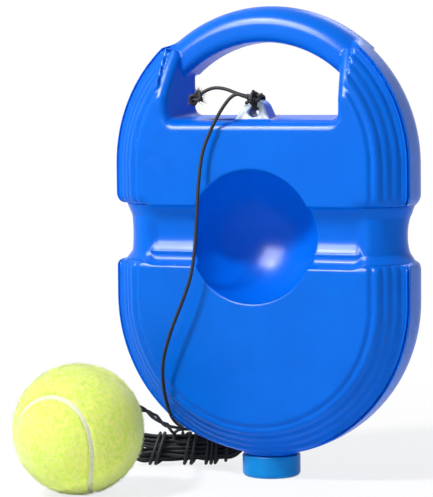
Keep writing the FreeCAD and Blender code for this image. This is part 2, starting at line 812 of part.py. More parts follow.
def make_cord_wrap():
    """Cord wound round the hank in slanted groups of turns."""
    tall = hank_axis_z() - CORD_R
    ways = ((0, -1, 0), (-WRAP_SLANT, 0, -tall), (0, 1, 0))
    stations = []
    for turn in range(len(WRAP_STARTS) - 1):
        for quarter in range(4):
            s, t, z = wrap_place(turn, quarter / 4)
            if quarter == 3:
                low = wrap_place(turn, 0.5)
                high = wrap_place(turn + 1, 0) if turn + 2 < len(WRAP_STARTS) else wrap_place(turn, 1)
                way = [b - a for a, b in zip(low, high)]
            else:
                way = ways[quarter]
            stations.append(hank_station(s, t, z, way))
    return stations_tube("cord_wrap", stations, CORD_R)


TAIL_ROUTE = (
    (-4.3, -26.1, 200.2),
    (-8.6, -25.4, 201.9),
    (-14.2, -24.2, 203.9),
    (-20.2, -23.6, 204.7),
    (-25.2, -23.6, 203.4),
    (-28.6, -23.8, 201.0),
)

DROP_ROUTE = (
    (-4.3, -26.4, 197.8),
    (-8.8, -27.0, 199.2),
    (-13.0, -27.6, 196.6),
    (-17.0, -28.8, 191.6),
    (-20.6, -29.2, 185.4),
    (-24.0, -29.0, 179.2),
    (-26.6, -28.8, 169.7),
    (-28.8, -28.7, 152.0),
    (-29.8, -28.7, 127.5),
    (-31.9, -28.8, 108.2),
    (-37.4, -28.8, 94.8),
    (-42.6, -28.8, 83.0),
    (-46.4, -28.9, 72.0),
    (-49.8, -28.9, 61.0),
    (-50.2, -28.6, 50.6),
    (-51.8, -23.8, 41.0),
    (-55.8, -13.2, 32.2),
    (-57.2, 0.6, 28.8),
    (-57.2, 11.0, 26.4),
    (-58.679, 17.312, 22.4),
    (-58.679, 17.312, 17.8),
)

TETHER_ROUTE = (
    (-48.638, -62.542, 41.536),
    (-45.863, -59.235, 42.612),
    (-45.6, -52.6, 41.4),
    (-48.6, -42.6, 36.6),
    (-50.4, -30.6, 32.0),
    (-51.8, -19.4, 27.8),
    (-54.6, -8.0, 24.4),
    (-58.8, 0.6, 24.9),
    (-60.320, 8.927, 24.9),
    (-60.320, 8.927, 18.1),
)


def make_lug_knot():
    """Cord loop through the lug, closed by its stopper knot."""
    hole_z = LEDGE_Z_FRONT + LUG_HOLE_RISE
    loop = route((
        (LOOP_X, LOOP_FRONT_Y, KNOT_Z),
        (LOOP_X, LOOP_FRONT_Y, hole_z),
        (LOOP_X, LOOP_BACK_Y, hole_z),
        (LOOP_X, LOOP_BACK_Y, LOOP_TOP_Z),
        (LOOP_X, KNOT_Y, LOOP_TOP_Z),
    ))
    ring = cord_tube("lug_loop", loop, CORD_R)
    half = KNOT_LENGTH / 2
    knot = barrel_knot(Vector(-half, KNOT_Y, KNOT_Z), Vector(half, KNOT_Y, KNOT_Z), KNOT_R, KNOT_TURNS)
    return ring.fuse(knot).removeSplitter().Solids[0]


def make_tail_knot():
    """Stopper knot at the end of the tail."""
    points = route(TAIL_ROUTE)
    way = (points[-1] - points[-2]).normalize()
    return barrel_knot(points[-1], points[-1] + way * TAIL_KNOT_LENGTH, TAIL_KNOT_R, TAIL_KNOT_TURNS)


def make_ball_knot():
    """Stopper knot inside the ball, with the straight stub of cord that runs out through the plug."""
    outer = BALL_R - FELT - FELT_GAP - RUBBER - KNOT_SEAT_GAP
    knot = barrel_knot(along_exit(outer - BALL_KNOT_LENGTH), along_exit(outer), BALL_KNOT_R, BALL_KNOT_TURNS)
    stub = Part.makeCylinder(TWIN_R, BALL_R + STUB_REACH - outer + BALL_KNOT_LENGTH,
                             along_exit(outer - BALL_KNOT_LENGTH), ball_exit())
    return knot.fuse(stub).removeSplitter().Solids[0]


def make_nodes():
    """Every node by its name."""
    nodes = {"base_shell": make_base_shell(), "screw_cap": make_screw_cap(), "cap_liner": make_cap_liner()}
    nodes.update(make_ball())
    nodes["ball_plug"] = make_ball_plug()
    nodes["lug_knot"] = make_lug_knot()
    nodes["cord_tail"] = cord_tube("cord_tail", route(TAIL_ROUTE), CORD_R)
    nodes["tail_knot"] = make_tail_knot()
    nodes["cord_drop"] = cord_tube("cord_drop", route(DROP_ROUTE), CORD_R)
    nodes["cord_tether"] = cord_tube("cord_tether", route(TETHER_ROUTE), TWIN_R)
    nodes["ball_knot"] = make_ball_knot()
    nodes["cord_hank"] = make_cord_hank()
    nodes["cord_wrap"] = make_cord_wrap()
    return nodes


os.makedirs("parts", exist_ok=True)
for node, shape in make_nodes().items():
    print(node, shape.ShapeType, len(shape.Solids), shape.isValid(), round(shape.Volume, 1))
    shape.exportStep("parts/" + node + ".step")
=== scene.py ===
import math

import bmesh
import bpy
import numpy as np
from mathutils import Matrix, Vector


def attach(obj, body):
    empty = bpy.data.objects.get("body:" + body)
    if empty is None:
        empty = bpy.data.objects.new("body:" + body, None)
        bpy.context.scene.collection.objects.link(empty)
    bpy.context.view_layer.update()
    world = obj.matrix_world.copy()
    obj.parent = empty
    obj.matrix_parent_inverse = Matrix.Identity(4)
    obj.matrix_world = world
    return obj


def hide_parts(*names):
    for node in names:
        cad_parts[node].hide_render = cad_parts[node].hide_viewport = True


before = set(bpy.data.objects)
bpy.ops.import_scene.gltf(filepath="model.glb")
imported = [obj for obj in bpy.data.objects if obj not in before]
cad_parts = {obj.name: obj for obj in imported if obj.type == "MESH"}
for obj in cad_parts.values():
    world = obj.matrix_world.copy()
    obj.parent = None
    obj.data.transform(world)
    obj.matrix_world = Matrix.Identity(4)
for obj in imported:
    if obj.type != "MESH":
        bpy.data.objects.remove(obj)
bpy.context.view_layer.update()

mm = 0.001
shapeDice = np.random.default_rng(11)

# Blue blow-moulded base, felt ball and black elastic cord. Lengths in the dictionaries are in
# millimetres and are turned into metres where a mesh is made.


# Mesh making


def unit(vectors):
    # each row divided by its own length
    return vectors / np.linalg.norm(vectors, axis=-1, keepdims=True)


def smooth(x):
    # 0 to 1 with flat ends
    x = np.clip(x, 0, 1)
    return x * x * (3 - 2 * x)


def gridFaces(rows, columns):
    # quads between neighbours of a rows by columns grid, the last column joined to the first
    row = np.arange(rows - 1)[:, None]
    column = np.arange(columns)[None, :]
    after = (column + 1) % columns
    here = row * columns
    quads = np.stack(np.broadcast_arrays(
        here + column, here + after, here + columns + after, here + columns + column), axis=-1)
    return quads.reshape(-1, 4)


def fanFaces(ring, pole, flip):
    # triangles from each edge of a closed ring to its pole
    after = np.roll(ring, -1)
    corners = (after, ring) if flip else (ring, after)
    return np.stack([corners[0], corners[1], np.full(len(ring), pole)], axis=-1)


def smoothFaces(mesh):
    mesh.polygons.foreach_set("use_smooth", np.ones(len(mesh.polygons), bool))


def makeMesh(name, points, faceSets, uv=None):
    # one mesh from an array of points and arrays of quads and triangles
    mesh = bpy.data.meshes.new(name)
    mesh.from_pydata(points.tolist(), [], [face for faceSet in faceSets for face in faceSet.tolist()])
    smoothFaces(mesh)
    if uv is not None:
        corners = np.zeros(len(mesh.loops), np.int32)
        mesh.loops.foreach_get("vertex_index", corners)
        layer = mesh.uv_layers.new(name="along")
        layer.data.foreach_set("uv", uv[corners].astype(np.float32).ravel())
    mesh.update()
    return mesh


def closeMesh(mesh, distance):
    # doubles merged, holes filled and faces turned outwards
    made = bmesh.new()
    made.from_mesh(mesh)
    bmesh.ops.remove_doubles(made, verts=made.verts, dist=distance * mm)
    bmesh.ops.holes_fill(made, edges=made.edges)
    bmesh.ops.recalc_face_normals(made, faces=made.faces)
    made.to_mesh(mesh)
    made.free()
    smoothFaces(mesh)


def meshFrom(holder):
    # the object's mesh with its modifiers applied
    bpy.context.view_layer.update()
    return bpy.data.meshes.new_from_object(holder.evaluated_get(bpy.context.evaluated_depsgraph_get()))


def meshPoints(mesh):
    points = np.zeros(len(mesh.vertices) * 3)
    mesh.vertices.foreach_get("co", points)
    return points.reshape(-1, 3)


def dress(mesh, material):
    mesh.materials.clear()
    mesh.materials.append(material)


def makePiece(name, mesh, material, body, nodes=()):
    # a finished piece that rides on its body and stands for its solids
    piece = bpy.data.objects.new(name, mesh)
    bpy.context.scene.collection.objects.link(piece)
    dress(mesh, material)
    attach(piece, body)
    if nodes:
        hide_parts(*nodes)
    return piece


def turnedMesh(name, profile, sides):
    # (radius, height) pairs turned round Z: point = (-radius * sin a, radius * cos a, height)
    profile = np.array(profile, float)
    a = np.linspace(0, 2 * math.pi, sides, endpoint=False)
    radius, height = profile[1:-1, :1], profile[1:-1, 1:]
    rings = np.stack(np.broadcast_arrays(-radius * np.sin(a), radius * np.cos(a), height), axis=-1)
    count = len(rings)
    faces = [
        gridFaces(count, sides),
        fanFaces(np.arange(sides), count * sides, True),
        fanFaces(np.arange(sides) + (count - 1) * sides, count * sides + 1, False),
    ]
    poles = [(0, 0, profile[0, 1]), (0, 0, profile[-1, 1])]
    return makeMesh(name, np.vstack([rings.reshape(-1, 3), poles]) * mm, faces)


def roundProfile(corners, steps=6):
    # corners of (radius, height, fillet), each fillet an arc tangent to the two sides beside it
    made = [corners[0][:2]]
    for before, here, after in zip(corners, corners[1:], corners[2:]):
        a, b, c = (np.array(corner[:2], float) for corner in (before, here, after))
        if here[2] == 0:
            made.append(tuple(b))
            continue
        first, last = unit(a - b), unit(c - b)
        half = math.acos(float(np.clip(first @ last, -1, 1))) / 2
        reach = here[2] / math.tan(half)
        middle = b + unit(first + last) * here[2] / math.sin(half)
        start, end = b + first * reach - middle, b + last * reach - middle
        for share in np.linspace(0, 1, steps):
            way = unit(start * (1 - share) + end * share)
            made.append(tuple(middle + way * here[2]))
    made.append(corners[-1][:2])
    return made


def fibrePoints(root, middle, tip, across, other, sizes):
    # each fibre a ring of three at its root, a ring of three where it bends, and a tip
    turn = (np.arange(3) * 2 * math.pi / 3)[None, :, None]
    ring = np.cos(turn) * across[:, None] + np.sin(turn) * other[:, None]
    return np.concatenate([root[:, None] + ring * sizes[0], middle[:, None] + ring * sizes[1], tip[:, None]],
                          axis=1)


def fibreMesh(name, points):
    # quads from root to bend, three triangles up to the tip and one over the root
    start = (np.arange(len(points)) * 7)[:, None, None]
    quads = start + np.array([(0, 1, 4, 3), (1, 2, 5, 4), (2, 0, 3, 5)])
    triangles = start + np.array([(3, 4, 6), (4, 5, 6), (5, 3, 6), (2, 1, 0)])
    return makeMesh(name, points.reshape(-1, 3) * mm, [quads.reshape(-1, 4), triangles.reshape(-1, 3)])


# Smooth lines and the tubes that follow them


def nurbsLine(route, resolution=8):
    # points along the NURBS spline whose control points are the route, in metres
    curve = bpy.data.curves.new("line", "CURVE")
    curve.dimensions = "3D"
    spline = curve.splines.new("NURBS")
    points = np.array(route, float)
    spline.points.add(len(points) - 1)
    spline.points.foreach_set("co", np.hstack([points, np.ones((len(points), 1))]).ravel())
    spline.order_u = 3
    spline.use_endpoint_u = True
    spline.resolution_u = resolution
    holder = bpy.data.objects.new("line", curve)
    bpy.context.scene.collection.objects.link(holder)
    mesh = meshFrom(holder)
    line = meshPoints(mesh)
    bpy.data.objects.remove(holder)
    bpy.data.curves.remove(curve)
    bpy.data.meshes.remove(mesh)
    return line


def lineLength(line):
    # length from the first point to each point
    steps = np.linalg.norm(np.diff(line, axis=0), axis=1)
    return np.concatenate([[0], np.cumsum(steps)])


def resample(line, count):
    # the same line with a number of points at an even spacing
    reach = lineLength(line)
    at = np.linspace(0, reach[-1], count)
    return np.stack([np.interp(at, reach, line[:, i]) for i in range(3)], axis=-1)


def evenLine(line, spacing):
    return resample(line, max(4, int(round(lineLength(line)[-1] / spacing))) + 1)


def frameAlong(line, reference):
    # tangent, side and up at every point: side = tangent x reference, up = side x tangent
    tangent = unit(np.gradient(line, axis=0))
    side = unit(np.cross(tangent, np.array(reference, float)))
    return tangent, side, np.cross(side, tangent)


domeShape = {"shares": (0.38, 0.71, 0.92), "height": 0.5}


def tubeMesh(name, line, radius, sides, reference):
    # a round section carried along a line: point = line + radius * (cos a * side + sin a * up),
    # with domed ends
    count = len(line)
    tangent, side, up = frameAlong(line, reference)
    dome = np.array(domeShape["shares"])
    lift = (1 - np.sqrt(1 - dome ** 2)) * domeShape["height"]
    rings = np.concatenate([[0] * len(dome), np.arange(1, count - 1), [count - 1] * len(dome)])
    shrink = np.concatenate([dome, np.ones(count - 2), dome[::-1]])
    inward = np.concatenate([lift, np.zeros(count - 2), -lift[::-1]])
    radii = np.broadcast_to(radius, count)[rings]
    centres = line[rings] + tangent[rings] * (inward * radii)[:, None]
    angle = np.linspace(0, 2 * math.pi, sides, endpoint=False)[None, :, None]
    ring = np.cos(angle) * side[rings][:, None] + np.sin(angle) * up[rings][:, None]
    flat = (centres[:, None] + (radii * shrink)[:, None, None] * ring).reshape(-1, 3)
    along = lineLength(line) / mm
    around = np.abs(np.linspace(-1, 1, sides, endpoint=False))
    uv = np.stack([np.repeat(along[rings], sides), np.tile(around, len(rings))], axis=-1)
    faces = [
        gridFaces(len(rings), sides)[:, ::-1],
        fanFaces(np.arange(sides), len(flat), False),
        fanFaces(np.arange(sides) + len(flat) - sides, len(flat) + 1, True),
    ]
    return makeMesh(name, np.vstack([flat, line[[0, -1]]]), faces, np.vstack([uv, [(0, 0), (along[-1], 0)]]))


# Shader maths


class Wire:
    # one output socket; operators on it add Math nodes

    def __init__(self, finish, socket):
        self.finish = finish
        self.socket = socket

    def math(self, operation, first, second=None):
        sockets = {0: first} if second is None else {0: first, 1: second}
        return self.finish.node("ShaderNodeMath", {"operation": operation}, sockets)

    def __add__(self, other):
        return self.math("ADD", self, other)

    def __radd__(self, other):
        return self.math("ADD", other, self)

    def __sub__(self, other):
        return self.math("SUBTRACT", self, other)

    def __rsub__(self, other):
        return self.math("SUBTRACT", other, self)

    def __mul__(self, other):
        return self.math("MULTIPLY", self, other)

    def __rmul__(self, other):
        return self.math("MULTIPLY", other, self)

    def sine(self):
        return self.math("SINE", self)

    def most(self, other):
        return self.math("MAXIMUM", self, other)


class Finish:
    # one material, or the world, made node by node

    def __init__(self, name, world=None):
        self.material = world or bpy.data.materials.new(name)
        self.material.use_nodes = True
        self.tree = self.material.node_tree
        self.tree.nodes.clear()

    def node(self, kind, settings, sockets, output=0):
        made = self.tree.nodes.new(kind)
        for key, value in settings.items():
            setattr(made, key, value)
        for key, value in sockets.items():
            if isinstance(value, Wire):
                self.tree.links.new(value.socket, made.inputs[key])
            else:
                made.inputs[key].default_value = value
        return Wire(self, made.outputs[output]) if made.outputs else made

    def noise(self, vector, scale, detail=2.0, roughness=0.5):
        sockets = {"Vector": vector, "Scale": scale, "Detail": detail, "Roughness": roughness}
        return self.node("ShaderNodeTexNoise", {}, sockets)

    def mixColor(self, share, first, second):
        sockets = {0: share, 6: first, 7: second}
        return self.node("ShaderNodeMix", {"data_type": "RGBA"}, sockets, 2)

    def bump(self, height, strength, distance, normal=None):
        sockets = {"Height": height, "Strength": strength, "Distance": distance}
        if normal is not None:
            sockets["Normal"] = normal
        return self.node("ShaderNodeBump", {}, sockets)

    def smoothStep(self, value, low, high):
        sockets = {0: value, 1: low, 2: high, 3: 0.0, 4: 1.0}
        return self.node("ShaderNodeMapRange", {"interpolation_type": "SMOOTHSTEP"}, sockets)

    def place(self):
        return self.node("ShaderNodeTexCoord", {}, {}, "Object")

    def finish(self, shader):
        self.node("ShaderNodeOutputMaterial", {}, {"Surface": shader})
        return self.material

    def plastic(self, sockets):
        return self.finish(self.node("ShaderNodeBsdfPrincipled", {}, sockets))


def shade(hexText):
    # a display colour as linear light
    parts = np.array([int(hexText[i:i + 2], 16) for i in (0, 2, 4)]) / 255
    linear = np.where(parts <= 0.04045, parts / 12.92, ((parts + 0.055) / 1.055) ** 2.4)
    return (*linear.tolist(), 1.0)


# Blue plastic of the base

basePlastic = {
    "color": "0069de", "deepColor": "0065d8", "cloudScale": 34.0, "cloudFade": (0.35, 0.7),
    "roughness": 0.26, "roughnessSpread": 0.07, "gloss": 0.08,
    "peelScale": 420.0, "peelShare": 0.7, "scuffScale": 95.0, "scuffRoughness": 0.7,
    "wave": (0.1, 0.0006), "skin": (0.12, 0.00008),
    # a painted highlight on the lug's leaning front face: its pale colour and where it lies
    "highlightColor": "d6e2fb", "highlightHalf": 10.0, "highlightSideShare": 0.9,
    "highlightDepths": (0.7, 1.3), "highlightFeet": (188.0, 188.6), "highlightTops": (200.0, 201.0),
}


def lugHighlightMask(look, place, base, highlight):
    # 1 on the lug's leaning front face, where a pale highlight colour is painted on
    x, y, z = (look.node("ShaderNodeSeparateXYZ", {}, {"Vector": place}, axis) for axis in "XYZ")
    behind = y - (z - base["lugLowZ"] * mm) * base["lugLean"] - base["lugFrontY"] * mm
    side = (highlight["highlightHalf"] * mm) ** 2
    wide = 1 - look.smoothStep(x * x, side * highlight["highlightSideShare"], side)
    high = 1 - look.smoothStep(z, *(value * mm for value in highlight["highlightTops"]))
    low = look.smoothStep(z, *(value * mm for value in highlight["highlightFeet"]))
    return (1 - look.smoothStep(behind, *(value * mm for value in highlight["highlightDepths"]))) * wide * high * low


def makeBasePlastic(values, base):
    look = Finish("basePlastic")
    place = look.place()
    cloud = look.noise(place, values["cloudScale"], 3.0)
    peel = look.noise(place, values["peelScale"], 2.0)
    blend = look.smoothStep(cloud, *values["cloudFade"])
    color = look.mixColor(blend, shade(values["color"]), shade(values["deepColor"]))
    # the lug's front face painted in a pale highlight colour
    color = look.mixColor(lugHighlightMask(look, place, base, values), color, shade(values["highlightColor"]))
    rough = cloud * values["roughnessSpread"] + (values["roughness"] - values["roughnessSpread"] / 2)
    scuff = look.noise(place, values["scuffScale"], 6.0, values["scuffRoughness"])
    grain = peel * values["peelShare"] + scuff * (1 - values["peelShare"])
    skin = look.bump(grain, *values["skin"], look.bump(cloud, *values["wave"]))
    return look.plastic({
        "Base Color": color, "Roughness": rough, "Normal": skin, "Specular IOR Level": values["gloss"],
    })


baseShape = {
    # remesh, and the plug that closes the neck
    "weld": 0.002, "voxel": 0.66, "smoothSteps": 2, "smoothing": 0.5, "faces": 185000,
    "plugRadius": 11.4, "plugLow": 4.6, "plugHigh": 9.0, "plugSides": 48,
    # outline and ledge
    "endRadius": 82.0, "lowCentreZ": 94.2, "highCentreZ": 164.6, "frontY": -27.5,
    "ledgeZ": 187.0, "ledgeRound": 4.9, "ledgeHalf": 43.0, "ledgeDepthShare": 1.5,
    # lug
    "lugLowZ": 187.5, "lugTopZ": 199.0, "lugHighZ": 205.0, "lugHalf": 11.0, "lugFrontY": -22.7,
    "lugBackY": -9.8, "lugLean": 0.32, "lugFootSpread": 0.2, "lugHeadDraw": 0.12,
    # handle bar: side, size, depth and how much of the round is left out on the slopes
    "barHalfDepth": 12.0, "barRounds": ((-1, 10.3, 14.0, 0.0), (1, 7.0, 9.0, 0.6)), "barDepthShare": 1.1,
    "barSlopeX": 10.0, "barSlopeFade": 20.0, "barHalf": 50.0, "barFade": 5.0,
    # side band
    "rimFrontY": -9.0, "rimReach": 2.4, "rimOut": 0.6, "rimFade": 16.0, "rimPush": 4.9,
    "rimLowZ": 13.0, "rimLowFade": 14.0,
    "backEaseHalf": 52.0, "backEaseFade": 13.0, "backEaseLowZ": 203.0, "backEaseHighZ": 216.0,
    # channel at the sides: pairs are for the lower and the upper lip
    "sideCentreX": 54.5, "sideFade": 8.0, "lipHalf": 15.6, "lipInnerRadius": 22.9, "lipReach": 4.6,
    "lipRounds": (3.5, 6.0), "lipShares": (0.05, 0.1), "lipPads": (1.3, 1.1), "lipPadReach": 6.0,
    "lipPadOver": 0.2, "lipCurve": 2.2, "lowLipRise": 2.0, "floorLift": 1.6, "floorLean": 15.0,
    # channel's lower front wall
    "waistZ": 127.8, "waistFloorY": -19.5, "waistLipZ": 112.2, "coveHalf": 12.0, "coveRadius": 22.9,
    "lipRadius": 3.55, "innerCoveRadius": 14.7, "innerCoveTurn": 33.0, "outerCoveRadius": 5.5,
    "stepProfile": ((-0.38, -0.35), (-0.48, -0.8), (-0.18, -1.75)), "stepHalf": 58.0, "stepFade": 4.0,
    "stepWay": 23.9, "stepBackY": -15.0, "stepNear": 1.2, "stepNearFade": 0.8, "wallSteps": (24, 16),
}


def roundLedge(points, values):
    # the ledge's front edge rolled over: what lies outside a circle in (y, z) is drawn in to it
    size = values["ledgeRound"]
    middleY, middleZ = values["frontY"] + size, values["ledgeZ"] - size
    y, z = points[:, 1] - middleY, points[:, 2] - middleZ
    away = np.hypot(y, z)
    inside = (y < 0) & (z > 0) & (z < size * values["ledgeDepthShare"]) & (away > size)
    share = np.clip((values["ledgeHalf"] - np.abs(points[:, 0])) / size + 1, 0, 1) * inside
    scale = 1 + share * (size / np.maximum(away, size) - 1)
    points[:, 1] = middleY + y * scale
    points[:, 2] = middleZ + z * scale


def tiltLug(points, values):
    # the lug's front face leans back as it rises, with its left foot spread and its right shoulder drawn in
    x, y, z = points.T
    low, front, back = values["lugLowZ"], values["lugFrontY"], values["lugBackY"]
    onLug = (np.abs(x) < values["lugHalf"]) & (z > low) & (z < values["lugHighZ"]) & (y < back)
    share = np.clip((back - y) / (back - front), 0, 1) * onLug
    way = np.clip((z - low) / (values["lugTopZ"] - low), 0, 1)
    spread = np.where(x < 0, values["lugFootSpread"] * (1 - way), -values["lugHeadDraw"] * way)
    points[:, 0] += share * x * spread
    points[:, 1] += share * (z - low) * values["lugLean"]


def roundBar(points, values):
    # the bar's outer edges drawn in to an ellipse in (distance from the upper end's centre, y),
    # front then back
    for side, size, depth, slopeEase in values["barRounds"]:
        x, y, z = points.T.copy()
        rise = z - values["highCentreZ"]
        away = np.hypot(x, rise)
        middle, middleY = values["endRadius"] - size, values["barHalfDepth"] - depth
        across, deep = (away - middle) / size, (side * y - middleY) / depth
        out = np.hypot(across, deep)
        inside = (across > 0) & (deep > 0) & (deep < values["barDepthShare"]) & (out > 1) & (rise > 0)
        share = np.clip((values["barHalf"] - np.abs(x)) / values["barFade"] + 1, 0, 1) * inside
        share *= 1 - slopeEase * smooth((np.abs(x) - values["barSlopeX"]) / values["barSlopeFade"])
        scale = 1 + share * (1 / np.maximum(out, 1) - 1)
        nearer = np.where(inside, (middle + across * scale * size) / np.maximum(away, 1), 1)
        points[:, 0] = x * nearer
        points[:, 1] = np.where(inside, side * (middleY + deep * scale * depth), y)
        points[:, 2] = values["highCentreZ"] + rise * nearer


def pushRim(points, values):
    # the side band's front edge brought forward, fading inwards from the outline, towards the back
    # and towards the foot
    x, y, z = points.T
    rise = z - np.clip(z, values["lowCentreZ"], values["highCentreZ"])
    inset = values["endRadius"] - np.hypot(x, rise)
    share = smooth(1 - inset / values["rimReach"]) * (inset > -values["rimOut"])
    share *= 1 - smooth((y - values["rimFrontY"]) / values["rimFade"])
    share *= np.where(rise > 0, smooth((np.abs(x) - values["barHalf"]) / values["barFade"]), 1)
    share *= smooth((z - values["rimLowZ"]) / values["rimLowFade"])
    points[:, 1] -= values["rimPush"] * share


def easeBack(points, values):
    # behind the bar's ends the body's back rises from the bar's depth in a slope
    x, y, z = points.T
    share = smooth((values["backEaseHalf"] + values["backEaseFade"] - np.abs(x)) / values["backEaseFade"])
    low, high = values["backEaseLowZ"], values["backEaseHighZ"]
    share *= smooth((z - low) / (high - low))
    points[:, 1] -= np.maximum(y - values["barHalfDepth"], 0) * share


def easeLips(points, values):
    # at the sides the channel's lips are drawn in, and its floor and the foot of each lip stand out a little:
    # the distance from each side's upright axis times 1 - share * (1 - t)^curve, t the way up or down from
    # the lip, plus the lift of the floor and the pad under the lip
    x, y, z = points.T
    outX = np.abs(x) - values["sideCentreX"]
    away = np.hypot(outX, y)
    high = np.abs(z - values["waistZ"])
    upper = z > values["waistZ"]
    onSide = smooth(outX / values["sideFade"])
    reach, deepest, padSize = (
        np.where(upper, *values[key][::-1]) for key in ("lipRounds", "lipShares", "lipPads"))
    lip = values["lipHalf"]
    fall = (1 - np.clip((high - lip) / reach, 0, 1)) ** values["lipCurve"]
    onLip = np.clip((away - values["lipInnerRadius"]) / values["lipReach"], 0, 1)
    drawn = 1 - deepest * fall * np.where(high < lip, onLip, 1) * onSide
    lift = values["floorLift"] * np.clip(1 - (high / values["coveHalf"]) ** 2, 0, 1)
    pad = padSize * np.clip(1 - (lip - high) / values["lipPadReach"], 0, 1)
    lift = (lift + pad * (1 - onLip) * (high < lip + values["lipPadOver"])) * onSide
    scale = drawn + lift * (1 - y / values["floorLean"]) / np.maximum(away, 1)
    rise = values["lowLipRise"] * np.exp(-((high - lip) / values["lipReach"]) ** 2) * ~upper
    points[:, 0] = np.where(outX > 0, np.sign(x) * (values["sideCentreX"] + outX * scale), x)
    points[:, 1] = np.where(outX > 0, y * scale, y)
    points[:, 2] += rise * onSide


def wallProfiles(values):
    # the channel's lower front wall from floor to face as (y, z): one cove and a lip, and two coves
    # with a step between them
    floorY, waistZ, frontY, lipZ = (values[key] for key in ("waistFloorY", "waistZ", "frontY", "waistLipZ"))
    big, small, half = values["coveRadius"], values["lipRadius"], values["coveHalf"]
    many, few = values["wallSteps"]
    down = np.linspace(0, half, many)
    drop = np.linspace(0, 1, few) * small
    coveEnd = floorY - big + math.sqrt(big ** 2 - half ** 2)
    plain = np.vstack([
        np.stack([floorY - big + np.sqrt(big ** 2 - down ** 2), waistZ - down], axis=-1),
        np.stack([coveEnd - small + np.sqrt(small ** 2 - drop ** 2), waistZ - half - drop], axis=-1),
        [(frontY, lipZ)],
    ])
    a = np.radians(np.linspace(0, values["innerCoveTurn"], few))
    b = np.linspace(0, math.pi / 2, many)
    inner, outer = values["innerCoveRadius"], values["outerCoveRadius"]
    cove = np.stack([floorY - inner * (1 - np.cos(a)), waistZ - inner * np.sin(a)], axis=-1)
    stepped = np.vstack([
        cove,
        cove[-1] + np.array(values["stepProfile"]),
        np.stack([frontY + outer * np.cos(b), lipZ + outer * (1 - np.sin(b))], axis=-1),
    ])
    return plain, stepped


def stepChannel(points, values):
    # points near the plain wall are moved to the stepped one at the same way down plus out from the floor
    floorY, waistZ = values["waistFloorY"], values["waistZ"]

    def readAt(profile, way):
        gone = (waistZ - profile[:, 1]) + (floorY - profile[:, 0])
        return np.stack([np.interp(way, gone, profile[:, i]) for i in (0, 1)], axis=-1)

    plain, stepped = wallProfiles(values)
    x, y, z = points.T
    outX = np.maximum(np.abs(x) - values["sideCentreX"], 0)
    depth = -np.hypot(outX, y)
    way = (waistZ - z) + (floorY - depth)
    near = np.abs(x) < values["stepHalf"] + values["stepFade"]
    onWall = np.flatnonzero((way > 0) & (way < values["stepWay"]) & (y < values["stepBackY"]) & near)
    here = np.stack([depth, z], axis=-1)[onWall]
    old = readAt(plain, way[onWall])
    off = np.linalg.norm(here - old, axis=1)
    share = smooth((values["stepNear"] - off) / values["stepNearFade"])
    share *= np.clip((values["stepHalf"] - np.abs(x[onWall])) / values["stepFade"] + 1, 0, 1)
    moved = here + share[:, None] * (readAt(stepped, way[onWall]) - old)
    scale = moved[:, 0] / here[:, 0]
    points[onWall, 0] += np.sign(x[onWall]) * outX[onWall] * (scale - 1)
    points[onWall, 1] *= scale
    points[onWall, 2] = moved[:, 1]


def makeBaseSkin(values, material):
    # the base's own surface, closed at the neck, remeshed fine and relaxed so that its edges are round
    work = bpy.data.objects.new("baseWork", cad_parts["base_shell"].data.copy())
    bpy.context.scene.collection.objects.link(work)
    made = bmesh.new()
    made.from_mesh(work.data)
    bmesh.ops.remove_doubles(made, verts=made.verts, dist=values["weld"] * mm)
    radius, low, high = (values[key] * mm for key in ("plugRadius", "plugLow", "plugHigh"))
    bmesh.ops.create_cone(
        made, cap_ends=True, cap_tris=True, segments=values["plugSides"], radius1=radius, radius2=radius,
        depth=high - low, matrix=Matrix.Translation((0, 0, (low + high) / 2)))
    made.to_mesh(work.data)
    made.free()
    remesh = work.modifiers.new("remesh", "REMESH")
    remesh.mode = "VOXEL"
    remesh.voxel_size = values["voxel"] * mm
    relax = work.modifiers.new("relax", "SMOOTH")
    relax.factor = values["smoothing"]
    relax.iterations = values["smoothSteps"]
    fine = meshFrom(work)
    points = meshPoints(fine) / mm
    for reshape in (roundLedge, tiltLug, roundBar, pushRim, easeBack, easeLips, stepChannel):
        reshape(points, values)
    fine.vertices.foreach_set("co", (points * mm).ravel())
    work.modifiers.clear()
    work.data = fine
    thin = work.modifiers.new("thin", "DECIMATE")
    thin.ratio = min(1.0, values["faces"] / (2 * len(fine.polygons)))
    mesh = meshFrom(work)
    bpy.data.objects.remove(work)
    smoothFaces(mesh)
    mesh.name = "baseSkin"
    return makePiece("baseSkin", mesh, material, "base", ["base_shell"])


blue = makeBasePlastic(basePlastic, baseShape)
baseSkin = makeBaseSkin(baseShape, blue)
print("base skin", len(baseSkin.data.polygons), "faces")


# Screw cap, its liner and the neck's thread

capShape = {
    "radius": 15.3, "height": 11.6, "floor": 2.0, "bore": 12.8,
    "footRound": 2.4, "lipRound": 0.5, "boreRound": 0.6,
    "sides": 128, "color": "0092e0", "deepColor": "0084d4", "roughness": 0.3, "roughnessSpread": 0.08,
    "cloudScale": 90.0, "grainScale": 700.0, "grain": (0.1, 0.00006), "clearness": 0.06, "gloss": 0.1,
    "threadRadius": 12.45, "threadRise": 3.18, "threadLow": 4.2, "threadTurns": 1.8, "threadSize": 0.32,
    "threadSteps": 64, "threadSides": 10, "threadFade": 5.0, "threadLeast": 0.15,
}


def makeCapPlastic(values):
    look = Finish("capPlastic")
    place = look.place()
    cloud = look.noise(place, values["cloudScale"], 2.0)
    color = look.mixColor(cloud, shade(values["color"]), shade(values["deepColor"]))
    return look.plastic({
        "Base Color": color, "Roughness": cloud * values["roughnessSpread"] + values["roughness"],
        "Normal": look.bump(look.noise(place, values["grainScale"], 2.0), *values["grain"]),
        "Transmission Weight": values["clearness"], "IOR": 1.49, "Specular IOR Level": values["gloss"],
    })


